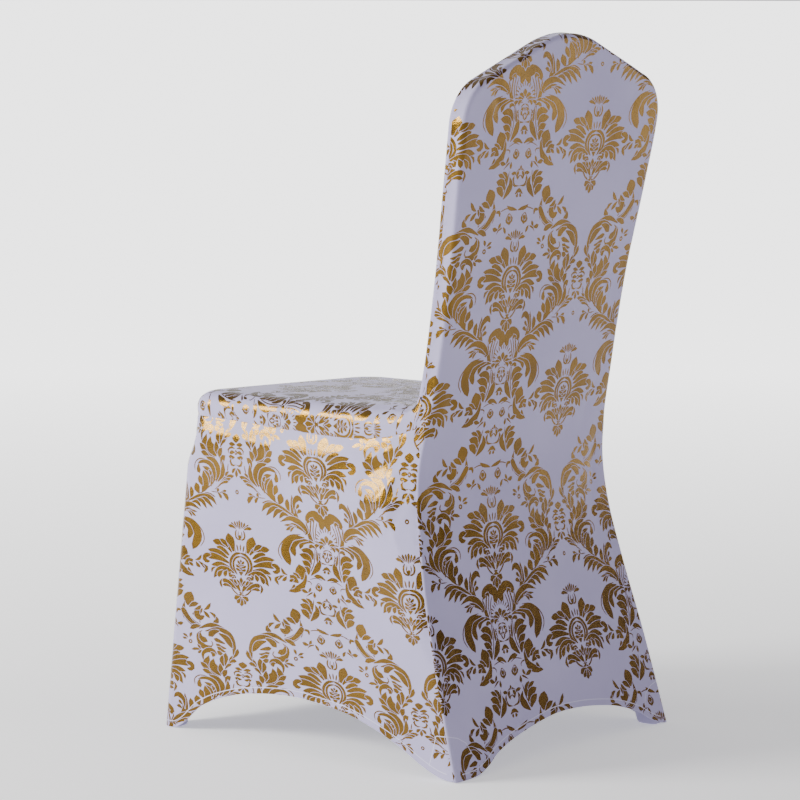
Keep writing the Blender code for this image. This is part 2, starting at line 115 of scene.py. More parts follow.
SIDE_HEM = (
    (-0.246, 0.0010), (-0.231, 0.0020), (-0.216, 0.0110), (-0.189, 0.0355), (-0.138, 0.0555), (-0.084, 0.0655),
    (-0.020, 0.0695), (0.042, 0.0655), (0.089, 0.0585), (0.137, 0.0450), (0.175, 0.0300), (0.205, 0.0145),
    (0.232, 0.0040), (0.250, 0.0010),
)
REAR_HEM = (
    (-0.228, 0.0010), (-0.215, 0.0035), (-0.197, 0.0110), (-0.174, 0.0240), (-0.133, 0.0380), (-0.097, 0.0450),
    (-0.053, 0.0500), (0.000, 0.0510), (0.048, 0.0450), (0.103, 0.0340), (0.139, 0.0225), (0.160, 0.0115),
    (0.184, 0.0030), (0.205, 0.0010),
)
FRONT_HEM = (
    (-0.200, 0.0010), (-0.184, 0.0050), (-0.150, 0.0290), (-0.095, 0.0470), (0.000, 0.0560), (0.098, 0.0460),
    (0.152, 0.0270), (0.184, 0.0050), (0.200, 0.0010),
)
PULLS = (
    (1, 8, 0.150, 0.014, 0.0030), (1, 24, 0.125, 0.013, 0.0034), (1, 42, 0.095, 0.012, 0.0028),
    (-1, 13, 0.135, 0.014, 0.0028), (-1, 33, 0.105, 0.013, 0.0030),
)
PULL_X = 0.176
PULL_Y = 0.170
PULL_NARROW = 0.35
PULL_SKEW = 0.6
POCKETS = (
    ("pocket_front_left", 1, -1, 0.026, 0.025, 0.040, 2.7),
    ("pocket_front_right", -1, -1, 0.026, 0.025, 0.040, 2.7),
    ("pocket_rear_left", 1, 1, 0.046, 0.040, 0.055, 4.0),
    ("pocket_rear_right", -1, 1, 0.023, 0.030, 0.050, 4.0),
)
POCKET_CLEAR = 0.0014
POCKET_ROLL = 0.004
ARC_SHARE = 1 / 6
BORDER_STEP = 0.004
LINE_STEP = 0.005
OUTER_STEP = 0.007
INNER_STEP = 0.014
RELIEF_STEP = 0.0012
RIM_STEP = 0.0012
SEAM_STEP = 0.001
BATCH = 20000
SEAT_CLIMB = 0.6
SEAT_CLEAR = 0.008


def lerp(start, end, share):
    return start + (end - start) * share


def blend(low, high, value):
    share = np.clip((value - low) / (high - low), 0.0, 1.0)
    return share * share * (3 - 2 * share)


def between(values, slopes, row, step, share):
    """Smooth step from each row of values to the next, with the slopes at both."""
    square, cube = share ** 2, share ** 3
    return (
        (2 * cube - 3 * square + 1) * values[row] + (cube - 2 * square + share) * slopes[row] * step
        + (3 * square - 2 * cube) * values[row + 1] + (cube - square) * slopes[row + 1] * step
    )


def read_rows(rows, column, place):
    """Smooth curve through one column of a table whose first column is the place."""
    table = np.array(rows)
    keys, values = table[:, 0], table[:, column]
    place = np.clip(place, keys[0], keys[-1])
    row = np.clip(np.searchsorted(keys, place) - 1, 0, len(keys) - 2)
    slopes = np.gradient(values, keys)
    slopes[1:-1] = (values[2:] - values[:-2]) / (keys[2:] - keys[:-2])
    step = keys[row + 1] - keys[row]
    return between(values, slopes, row, step, (place - keys[row]) / step)


ARC_X = CROWN_RADIUS * sin(CROWN_SLOPE)
ARC_Z = HEIGHT - CROWN_RADIUS * (1 - cos(CROWN_SLOPE))
SHOULDER_X = SHOULDER_HALF - SHOULDER_RADIUS
TOUCH_X = SHOULDER_X + SHOULDER_RADIUS * sin(CROWN_SLOPE)
SHOULDER_Z = ARC_Z - (TOUCH_X - ARC_X) * tan(CROWN_SLOPE) - SHOULDER_RADIUS * cos(CROWN_SLOPE)
CORNER_X = SHOULDER_X + SHOULDER_RADIUS * sqrt(0.5)
CORNER_Z = SHOULDER_Z + SHOULDER_RADIUS * sqrt(0.5)


def crown_z(x):
    x = np.abs(x)
    top = HEIGHT - CROWN_RADIUS + np.sqrt(np.maximum(CROWN_RADIUS ** 2 - x ** 2, 0))
    slope = ARC_Z - (x - ARC_X) * tan(CROWN_SLOPE)
    shoulder = SHOULDER_Z + np.sqrt(np.maximum(SHOULDER_RADIUS ** 2 - (x - SHOULDER_X) ** 2, 0))
    return np.where(x < ARC_X, top, np.where(x < TOUCH_X, slope, shoulder))


def back_half(z):
    arc = SHOULDER_X + np.sqrt(np.maximum(SHOULDER_RADIUS ** 2 - (z - SHOULDER_Z) ** 2, 0))
    return np.where(z > SHOULDER_Z, arc, read_rows(BACK_ROWS, 1, z))


def back_y(z):
    return read_rows(BACK_ROWS, 2, z)


def wrap_depth(z):
    return lerp(SEAM_DEPTH, BACK_DEPTH - EDGE_RADIUS - EDGE_STRAIGHT, blend(WRAP_LOW_Z, WRAP_TOP_Z, z))


def wrap_radius(z):
    return lerp(SEAM_RADIUS, EDGE_RADIUS, blend(WRAP_LOW_Z, WRAP_TOP_Z, z))


def hem_z(rows, place):
    return np.maximum(read_rows(rows, 1, place), HEM_CLEAR)


def rear_face(x, z):
    """Depth of the rear face at a place on it."""
    u = np.clip(x / back_half(np.minimum(z, CORNER_Z)), -1, 1)
    inner = 1 - u * u
    depth = BRIDGE * np.exp(-((z - BRIDGE_Z) / BRIDGE_REACH) ** 2)
    for dent_x, dent_z, radius, dent in DENTS:
        depth = depth - dent * np.exp(-((x - dent_x) ** 2 + (z - dent_z) ** 2) / radius ** 2)
    return back_y(z) + depth * inner


def padding(u, v):
    swell = np.sin(pi * PAD_SPAN * np.clip(v, 0, 1)) ** PAD_CURVE
    return BACK_PAD * (1 - np.clip(u, -1, 1) ** 4) * swell


def inside_face(x, z):
    """Depth of the padded front of the back at a place on it."""
    level = np.minimum(z, CORNER_Z)
    for _ in range(4):
        u = np.clip(x / back_half(level), -1, 1)
        crown = crown_z(u * CORNER_X)
        v = np.clip((crown - z) / (crown - JOIN_Z), 0, 1)
        level = CORNER_Z - v * (CORNER_Z - JOIN_Z)
    return back_y(z) - BACK_DEPTH - padding(u, v)


def front_corner(z):
    return lerp(LEG_CORNER, CUSHION_CORNER, blend(LEG_TOP_Z, CUSHION_BASE_Z, z))


def front_half(z):
    return lerp(FOOT_HALF, SEAT_HALF, np.minimum(z / SEAM_ROWS[0][1], 1.0))


def front_y(z):
    return lerp(FOOT_FRONT_Y, SEAT_FRONT, np.minimum(z / SEAM_ROWS[0][1], 1.0))


def sag(z):
    return 1 - blend(SAG_FULL_Z, SAG_END_Z, z)


def facet(away, z):
    width = read_rows(FACET_ROWS, 1, z)
    shown = blend(FACET_START_Z, FACET_FULL_Z, z) * (1 - blend(FACET_FADE_Z, FACET_END_Z, z))
    ridge = width * tan(FACET_TILT) * shown
    return np.where(away < width, ridge * away / width, ridge * np.exp(-((away - width) / FACET_REACH) ** 2))


def side_ends(z):
    return back_y(z) - wrap_depth(z) - GAP, front_y(z) + front_corner(z)


def side_x(y, z):
    start_y, end_y = side_ends(z)
    run = np.clip((start_y - y) / (start_y - end_y), 0.0, 1.0)
    straight = lerp(back_half(z), front_half(z), run)
    return straight - SIDE_SAG * sag(z) * np.sin(pi * run) + facet(np.maximum(start_y - y, 0.0), z)


def seam_z(share):
    """Height of the seam under the cushion: share 0 at the rear, 1 in the front corner."""
    return read_rows(SEAM_ROWS, 1, 1 - share)


def side_flat(s, z):
    """Left side's place from its flat cut: s runs along y and then round the front corner."""
    end_y = side_ends(z)[1]
    corner = front_corner(z)
    turn = np.clip((end_y - s) / corner, 0, pi / 2)
    y = np.maximum(s, end_y)
    return side_x(y, z) - corner * (1 - np.cos(turn)), y - corner * np.sin(turn)


def side_share(share, z):
    """Flat place along the left side for a share of the way from the rear to the front corner."""
    start_y, end_y = side_ends(z)
    straight = share / (1 - ARC_SHARE)
    corner = front_corner(z) * (share - 1 + ARC_SHARE) / ARC_SHARE * pi / 4
    return np.where(share > 1 - ARC_SHARE, end_y - corner, lerp(start_y, end_y, straight))


def front_flat(s, z):
    """Front's place from its flat cut: s runs along x and round both corners."""
    corner = front_corner(z)
    flat = front_half(z) - corner
    run = np.clip(np.abs(s) / flat, 0, 1)
    turn = np.clip((np.abs(s) - flat) / corner, 0, pi / 2)
    x = np.minimum(np.abs(s), flat) + corner * np.sin(turn)
    y = front_y(z) + FRONT_SAG * sag(z) * (1 - run * run) + corner * (1 - np.cos(turn))
    return np.sign(s) * x, y


def pull_folds(x, y):
    rise = np.zeros_like(x)
    for side, angle, length, width, height in PULLS:
        back_x, back_run, turn = PULL_X - x * side, PULL_Y - y, radians(angle)
        along = np.clip((back_x * sin(turn) + back_run * cos(turn)) / length, 0, 1)
        across = back_x * cos(turn) - back_run * sin(turn)
        narrow = width * lerp(PULL_NARROW, 1.0, along)
        rise = rise + height * np.sin(pi * along ** PULL_SKEW) * np.exp(-(across / narrow) ** 2)
    return rise


# Flat cuts: each gives its border, the lines that need rows of points, and its place in space

def even(points, step):
    """Points of a line again, evenly spaced."""
    points = np.array(points)
    run = np.concatenate([[0], np.cumsum(np.linalg.norm(np.diff(points, axis=0), axis=1))])
    count = max(int(round(run[-1] / step)), 2)
    places = np.linspace(0, run[-1], count + 1)
    return np.stack([np.interp(places, run, points[:, axis]) for axis in range(points.shape[1])], axis=1)


def unit(vectors):
    return vectors / np.linalg.norm(vectors, axis=1)[:, None]


def left_of(line):
    """Direction to the left of a line at each of its points."""
    along = unit(np.gradient(line, axis=0))
    return np.stack([-along[:, 1], along[:, 0]], 1)


def tree_of(points):
    tree = KDTree(len(points))
    for index, (s, t) in enumerate(points):
        tree.insert((s, t, 0), index)
    tree.balance()
    return tree


def joined(parts):
    """Closed border from four parts, the even ones without their last point."""
    parts = [even(part, BORDER_STEP) for part in parts]
    return np.concatenate([part if index % 2 else part[:-1] for index, part in enumerate(parts)])


class Rim:
    """Outline of the back with the roll and the strip outside it."""

    def __init__(self, low_z, bend, reach):
        z = np.linspace(low_z, CORNER_Z, 1200)
        x = np.linspace(CORNER_X, 0, 400)[1:]
        left = np.concatenate([np.stack([back_half(z), z], 1), np.stack([x, crown_z(x)], 1)])
        right = left[::-1][1:] * (-1, 1)
        line = even(np.concatenate([left, right]), RIM_STEP)
        self.normal = -left_of(line)
        self.bend = bend(line[:, 1])
        self.arc = self.bend * pi / 2
        self.length = self.arc + reach(line[:, 1]) - self.bend
        self.inner = line - self.normal * self.bend[:, None]
        self.step = np.linalg.norm(np.diff(self.inner, axis=0), axis=1).mean()
        self.tree = tree_of(self.inner)
        self.along = unit(np.gradient(self.inner, axis=0))

    def near(self, flat):
        return np.array([self.tree.find((s, t, 0))[1] for s, t in flat])

    def read(self, values, place):
        low = np.clip(np.floor(place).astype(int), 0, len(values) - 2)
        share = place - low
        if values.ndim == 2:
            share = share[:, None]
        return lerp(values[low], values[low + 1], share)

    def place(self, flat, near, face, sign):
        """Space places of flat points: the face inside, the roll and the strip outside."""
        slide = np.einsum("ij,ij->i", flat - self.inner[near], self.along[near]) / self.step
        place = np.clip(near + slide, 0, len(self.inner) - 1)
        inner, normal = self.read(self.inner, place), self.read(self.normal, place)
        bend = self.read(self.bend, place)
        away = np.einsum("ij,ij->i", flat - inner, normal)
        turn = np.clip(away / bend, 0, pi / 2)
        beyond = np.maximum(away - bend * pi / 2, 0)
        rolled = inner + normal * (bend * np.sin(turn))[:, None]
        plan = np.where((away > 0)[:, None], rolled, flat)
        depth = face(np.where(away > 0, inner[:, 0], flat[:, 0]), np.where(away > 0, inner[:, 1], flat[:, 1]))
        y = depth + sign * (bend * (1 - np.cos(turn)) + beyond)
        return np.stack([plan[:, 0], y, plan[:, 1]], 1)

    def ring(self, share):
        """Line round the roll at a share of its arc, or along the strip where share is over 1."""
        out = np.where(share > 1, lerp(self.arc, self.length, share - 1), self.arc * share)
        return self.inner + self.normal * out[:, None]


def side_border():
    """Border of the left side's flat cut: hem, rear seam, seam under the cushion and front corner."""

    def trimmed(z):
        return 1 - ARC_SHARE * CORNER_GAP / 2 / (front_corner(z) * pi / 4)

    share = np.linspace(0, 1, 260)
    top_z = seam_z(share) - GAP / 2
    top = np.stack([side_share(share * trimmed(seam_z(share)), top_z), top_z], 1)
    floor_y = side_flat(side_share(share, HEM_CLEAR), HEM_CLEAR)[1]
    hem = hem_z(SIDE_HEM, floor_y)
    low = np.stack([side_share(share * trimmed(hem), hem), hem], 1)
    z = np.linspace(low[0, 1], top[0, 1], 200)[1:-1]
    rear = np.stack([side_ends(z)[0], z], 1)
    z = np.linspace(top[-1, 1], low[-1, 1], 200)[1:-1]
    front = np.stack([side_share(trimmed(z), z), z], 1)
    return [low[::-1], rear, top, front]


def front_border():
    """Border of the front's flat cut: hem, right corner, seam under the cushion and left corner."""
    share = np.linspace(-1, 1, 400)

    def edge(z, amount):
        corner = front_corner(z)
        return amount * (front_half(z) - corner + corner * pi / 4 - CORNER_GAP / 2)

    top_z = np.full_like(share, float(seam_z(1.0)) - GAP / 2)
    top = np.stack([edge(top_z, share), top_z], 1)
    floor_x = front_flat(edge(HEM_CLEAR, share), np.full_like(share, HEM_CLEAR))[0]
    hem = hem_z(FRONT_HEM, floor_x)
    low = np.stack([edge(hem, share), hem], 1)
    z = np.linspace(low[-1, 1], top[-1, 1], 200)[1:-1]
    right = np.stack([edge(z, np.ones_like(z)), z], 1)
    z = z[::-1]
    left = np.stack([edge(z, -np.ones_like(z)), z], 1)
    return [low, right, top[::-1], left]


def loop_of(faces):
    """Ordered loop of the edges that only one face has."""
    edges = np.concatenate([faces[:, [0, 1]], faces[:, [1, 2]], faces[:, [2, 0]]])
    known = {tuple(edge) for edge in edges.tolist()}
    following = {a: b for a, b in known if (b, a) not in known}
    start = min(following)
    loop = [start]
    while following[loop[-1]] != start:
        loop.append(following[loop[-1]])
    return loop, len(following)


def inside(points, border):
    """Which points lie inside a closed border."""
    x, y = points[:, 0, None], points[:, 1, None]
    after = np.roll(border, -1, axis=0)
    ax, ay, bx, by = border[:, 0], border[:, 1], after[:, 0], after[:, 1]
    crosses = (ay > y) != (by > y)
    rise = np.where(by == ay, 1.0, by - ay)
    return (crosses & ((bx - ax) * (y - ay) / rise + ax > x)).sum(1) % 2 == 1


def inside_border(points, border):
    """The same for many points, a batch at a time."""
    batches = np.array_split(points, len(points) // BATCH + 1)
    return np.concatenate([inside(batch, border) for batch in batches])


def triangulate(border, lines, points, shapes):
    """Triangles inside a border that keep the edges of lines and shapes, and each one's ink."""
    spots, edges = [], []

    def add(chain, closed):
        first = len(spots)
        spots.extend(Vector(point) for point in np.asarray(chain, float).tolist())
        edges.extend((index, index + 1) for index in range(first, len(spots) - 1))
        if closed:
            edges.append((len(spots) - 1, first))

    add(border, True)
    for shape, _ in shapes:
        add(shape, True)
    for line in lines:
        add(line, False)
    spots.extend(Vector(point) for point in np.asarray(points, float).tolist())
    made = delaunay_2d_cdt(spots, edges, [], 0, 1e-6, False)
    flat = np.array([tuple(point) for point in made[0]])
    faces = np.array([corners for corners in made[2] if len(corners) == 3])
    middle = flat[faces].mean(1)
    kept = inside_border(middle, border)
    faces, middle = faces[kept], middle[kept]
    order = np.argsort(middle[:, 0])
    middle = middle[order]
    inks = np.zeros(len(faces), int)
    for shape, ink in shapes:
        low, high = shape.min(0), shape.max(0)
        first, last = np.searchsorted(middle[:, 0], (low[0], high[0]))
        height = middle[first:last, 1]
        near = np.flatnonzero((height > low[1]) & (height < high[1])) + first
        if len(near):
            inks[order[near[inside(middle[near], shape)]]] = ink
    used, faces = np.unique(faces, return_inverse=True)
    return flat[used], faces.reshape(-1, 3), inks


def lattice(border, step):
    low, high = border.min(0), border.max(0)
    across, up = np.meshgrid(np.arange(low[0], high[0], step), np.arange(low[1], high[1], step))
    across[1::2] += step / 2
    points = np.stack([across.ravel(), up.ravel()], 1)
    return points[inside_border(points, border)]


def relief(base, flat, bumps):
    """Places with the soft relief added along the surface, and the normals of the result."""
    steps = np.eye(2) * RELIEF_STEP
    ahead, above = (base(flat + step) - base(flat - step) for step in steps)
    plain = unit(np.cross(ahead, above))
    rise_s, rise_t = ((bumps(flat + step) - bumps(flat - step)) / (2 * RELIEF_STEP) for step in steps)
    ahead, above = ahead / (2 * RELIEF_STEP), above / (2 * RELIEF_STEP)
    normal = np.cross(ahead + plain * rise_s[:, None], above + plain * rise_t[:, None])
    return base(flat) + plain * bumps(flat)[:, None], unit(normal)


def cloth_mesh(name, border, lines, shapes, place, flip=False):
    """Closed sheet of a flat cut: a printed outer face, a plain inner face and its edge."""
    flat, faces, inks = triangulate(border, lines, lattice(border, OUTER_STEP), shapes)
    loop, count = loop_of(faces)
    assert len(loop) == count, (name, len(loop), count)
    under, under_faces, _ = triangulate(flat[loop], lines, lattice(border, INNER_STEP), ())
    tree = tree_of(under)
    under_loop = [tree.find((*flat[index], 0))[1] for index in loop]
    outer, outer_normal = place(flat)
    below, below_normal = place(under)
    if flip:
        outer_normal, below_normal = -outer_normal, -below_normal
        faces, under_faces = faces[:, ::-1], under_faces[:, ::-1]
    below = below - below_normal * CLOTH
    first = len(outer)
    rim = []
    for a, b, c, d in zip(loop, loop[1:] + loop[:1], under_loop, under_loop[1:] + under_loop[:1]):
        rim.append((b, a, first + c, first + d) if not flip else (a, b, first + d, first + c))
    data = bpy.data.meshes.new(name)
    polygons = faces.tolist() + (under_faces[:, ::-1] + first).tolist() + rim
    data.from_pydata(np.concatenate([outer, below]).tolist(), [], polygons)
    for finish in FINISHES:
        data.materials.append(finish)
    index = np.concatenate([inks, np.full(len(under_faces), INSIDE), np.full(len(rim), BARE)])
    data.polygons.foreach_set("material_index", index.astype(np.int32))
    data.polygons.foreach_set("use_smooth", np.ones(len(polygons), bool))
    corner_vertex = np.zeros(len(data.loops), np.int32)
    data.loops.foreach_get("vertex_index", corner_vertex)
    flats = np.concatenate([flat, under])[corner_vertex]
    data.uv_layers.new(name="flat").data.foreach_set("uv", flats.astype(np.float32).ravel())
    normals = np.concatenate([outer_normal, -below_normal])[corner_vertex]
    rim_start = 3 * (len(faces) + len(under_faces))
    plain = np.zeros(len(polygons) * 3, np.float32)
    data.polygons.foreach_get("normal", plain)
    plain = plain.reshape(-1, 3)[-len(rim):]
    normals[rim_start:] = np.repeat(plain, 4, axis=0)
    data.normals_split_custom_set(normals.tolist())
    return added(name, data)


def added(name, data):
    """New object in the scene."""
    item = bpy.data.objects.new(name, data)
    bpy.context.scene.collection.objects.link(item)
    return item


def shifted(places):
    return places + np.array((0, SHIFT_Y, 0))


# Finishes

def node_material(name):
    finish = bpy.data.materials.new(name)
    finish.use_nodes = True
    return finish, finish.node_tree.nodes, finish.node_tree.links, finish.node_tree.nodes["Principled BSDF"]


def noise_of(nodes, links, place, scale, detail=3.0):
    noise = nodes.new("ShaderNodeTexNoise")
    noise.inputs["Scale"].default_value = scale
    noise.inputs["Detail"].default_value = detail
    links.new(place.outputs["Object"], noise.inputs["Vector"])
    return noise.outputs["Fac"]


def ramp_of(nodes, links, value, low, high, start=0.3, end=0.7):
    ramp = nodes.new("ShaderNodeValToRGB")
    ramp.color_ramp.elements[0].position = start
    ramp.color_ramp.elements[1].position = end
    ramp.color_ramp.elements[0].color = (*low, 1)
    ramp.color_ramp.elements[1].color = (*high, 1)
    links.new(value, ramp.inputs["Fac"])
    return ramp.outputs["Color"]


def bump_of(nodes, links, height, strength, distance, before=None):
    bump = nodes.new("ShaderNodeBump")
    bump.inputs["Strength"].default_value = strength
    bump.inputs["Distance"].default_value = distance
    links.new(height, bump.inputs["Height"])
    if before:
        links.new(before, bump.inputs["Normal"])
    return bump.outputs["Normal"]


def reach_of(nodes, links, place, direction):
    """How far a place lies in a direction."""
    reach = nodes.new("ShaderNodeVectorMath")
    reach.operation = "DOT_PRODUCT"
    reach.inputs[1].default_value = direction
    links.new(place, reach.inputs[0])
    return reach.outputs["Value"]


def grained(name, low, high, patch_scale, knit, settings):
    """Material with patches between two colours, soft waves and a knit surface."""
    finish, nodes, links, shader = node_material(name)
    for setting, value in settings.items():
        shader.inputs[setting].default_value = value
    place = nodes.new("ShaderNodeTexCoord")
    colour = ramp_of(nodes, links, noise_of(nodes, links, place, patch_scale), low, high)
    links.new(colour, shader.inputs["Base Color"])
    waves = bump_of(nodes, links, noise_of(nodes, links, place, 60.0), 0.18, 0.002)
    scale, detail, strength, depth = knit
    surface = bump_of(nodes, links, noise_of(nodes, links, place, scale, detail), strength, depth, waves)
    links.new(surface, shader.inputs["Normal"])
    return finish, nodes, links, shader, place


def cloth_finish(name, low, high, rough):
    settings = {"Roughness": rough, "Sheen Weight": 0.3, "Sheen Roughness": 0.4}
    return grained(name, low, high, 7.0, (900.0, 1.0, 0.35, 0.0004), settings)[0]


def foil_finish(name, low, high, smooth, rough):
    settings = {"Metallic": 1.0, "Coat Weight": 0.18, "Coat Roughness": 0.12, "Coat IOR": 1.6}
    knit = (700.0, 2.0, 0.55, 0.0006)
    finish, nodes, links, shader, place = grained(name, low, high, 25.0, knit, settings)
    patches = noise_of(nodes, links, place, 160.0, 2.0)
    links.new(ramp_of(nodes, links, patches, (smooth,) * 3, (rough,) * 3), shader.inputs["Roughness"])
    return finish


CLOTH_FINISH = cloth_finish("stretch_cloth", (0.435, 0.40, 0.63), (0.495, 0.455, 0.69), 0.7)
FOIL_FINISH = foil_finish("gold_foil", (0.145, 0.076, 0.008), (0.205, 0.110, 0.013), 0.17, 0.28)
THREAD_FINISH = cloth_finish("hem_thread", (0.62, 0.59, 0.78), (0.68, 0.65, 0.84), 0.8)
INNER_FINISH = cloth_finish("cloth_inside", (0.55, 0.54, 0.66), (0.60, 0.58, 0.72), 0.8)
FINISHES = (CLOTH_FINISH, FOIL_FINISH, THREAD_FINISH, INNER_FINISH)
BARE, FOIL, THREAD, INSIDE = range(4)


# Print: one repeat of the damask in millimetres from the middle of a palmette. Its places were read by eye off
# enlargements of the photo and turned into millimetres by a scratch script, so it is traced: see report.md.
# Each item is a form, its width and the points of its middle line. The left half is its mirror image.

REPEAT_X = 296.0
REPEAT_Y = 335.0
DROP_X = 148.0
DROP_Y = -157.0
HALO = 1.3
BOLD = 1.24
BLADE_STEP = 3.2
BLADE_POINTS = (5, 13)
MIDDLE_WIDTH = 0.05
WIDTHS = {
    "L": ((0.0, 0.10), (0.15, 0.50), (0.40, 1.0), (0.65, 0.88), (0.85, 0.48), (1.0, 0.0)),
    "R": ((0.0, 0.24), (0.25, 0.60), (0.55, 0.90), (0.78, 1.0), (0.92, 0.75), (1.0, 0.15)),
    "P": ((0.0, 0.20), (0.25, 0.66), (0.50, 1.0), (0.72, 0.92), (0.88, 0.52), (1.0, 0.0)),
    "S": ((0.0, 0.35), (0.12, 0.9), (0.5, 1.0), (0.88, 0.9), (1.0, 0.35)),
    "T": ((0.0, 0.55), (0.12, 1.0), (0.45, 0.85), (0.75, 0.5), (1.0, 0.05)),
    "C": ((0.0, 0.05), (0.25, 0.55), (0.6, 1.0), (0.85, 0.8), (1.0, 0.1)),
    "D": ((0.0, 0.08), (0.2, 0.45), (0.5, 0.85), (0.78, 1.0), (0.94, 0.6), (1.0, 0.08)),
    "K": ((0.0, 0.30), (0.12, 0.8), (0.40, 1.0), (0.7, 0.85), (0.9, 0.6), (1.0, 0.2)),
}
PALMETTE = """
S 3.8 0,19.4 9,17 16,10 18.4,1 15.5,-7 11,-13|S 3 0,14.2 7.5,12.4 12.6,6 12.8,-2 10,-9 6.5,-14
L 10.5 0,-15 0,-6 0,2 0,10.6|R 3.6 0,-1 5,-1 9,2|R 3.8 0,-7 5,-6 9,-4|R 3.4 0,3 3,5 6,8|S 2 0,32 0,22.5
S 2.2 4.2,21.5 6.4,31|S 2.6 8.6,20 11,27 11.6,34|P 13.5 11.5,20.5 15.5,29 19,37 21.5,46.5
R 8 15.5,18.5 23.5,27 34,29.8 49,31.5|P 6 22,25 28,31.5 37,36|R 7.4 20,13.5 28,18.8 42.5,23.5
P 8.4 22,9.4 37,14.4 58.5,17.6|R 8.6 20.5,2 35,6.8 50,8.6 60,7.4|K 6.6 53,10 62,7.6 64.4,2.6 60.4,-.8 54.6,0
P 7.4 20,-4 35,-2.2 52.5,-5.4|P 3.4 44,-7.6 50,-11 51.6,-18|P 9.4 12,-12.6 25,-8.4 38,-12 48,-26
P 6 24,-10 27.6,-15 28.4,-21.4|P 6.4 32,-11 38,-17.6 39,-24|K 5 9,-20 12,-17.6 18.6,-18.4 21,-15 17,-12.4
P 4 13,-18 14,-21 14,-24.6|P 5.6 0,-33 0,-25 0,-17|P 4.4 1,-31.4 4.6,-27.4 7.6,-21.4
P 8 1.6,-41 7,-32.6 14,-27.8 21.4,-23|P 4 7,-31 11,-25 13,-21.6|R 7 8.6,-38 20,-30 34,-26
P 3.6 33,-25 36.2,-31 32.8,-40|S 2.2 4,-47.6 12,-42.4 18,-35.4 23,-33.4|R 4.6 17.4,-36 25,-33.4 32.6,-34.6
K 3.4 6,-47 1,-46.4 .8,-42.6 4,-42.4|R 7.6 0,-50.6 6,-51.4 12.6,-53.6|R 5.4 2,-51.6 4.6,-56.6 7.6,-60.6
R 6.4 0,-50 0,-57 0,-64.6
"""
SPROUT = """
S 2.4 0,38.4 6,40 8,46.4 6,53|S 1.4 1.6,39.4 3.4,45 2.6,51|R 4.2 0,38 0,42 0,46|R 3.2 0,54 0,62 0,67.6
R 3 4,56 7.6,60.4 9,65|R 2.8 6,56 11.4,59 15.4,63|R 4.2 7,54 13,57 20.6,57.4|R 2.6 2,55 3.6,61 4.4,66
"""
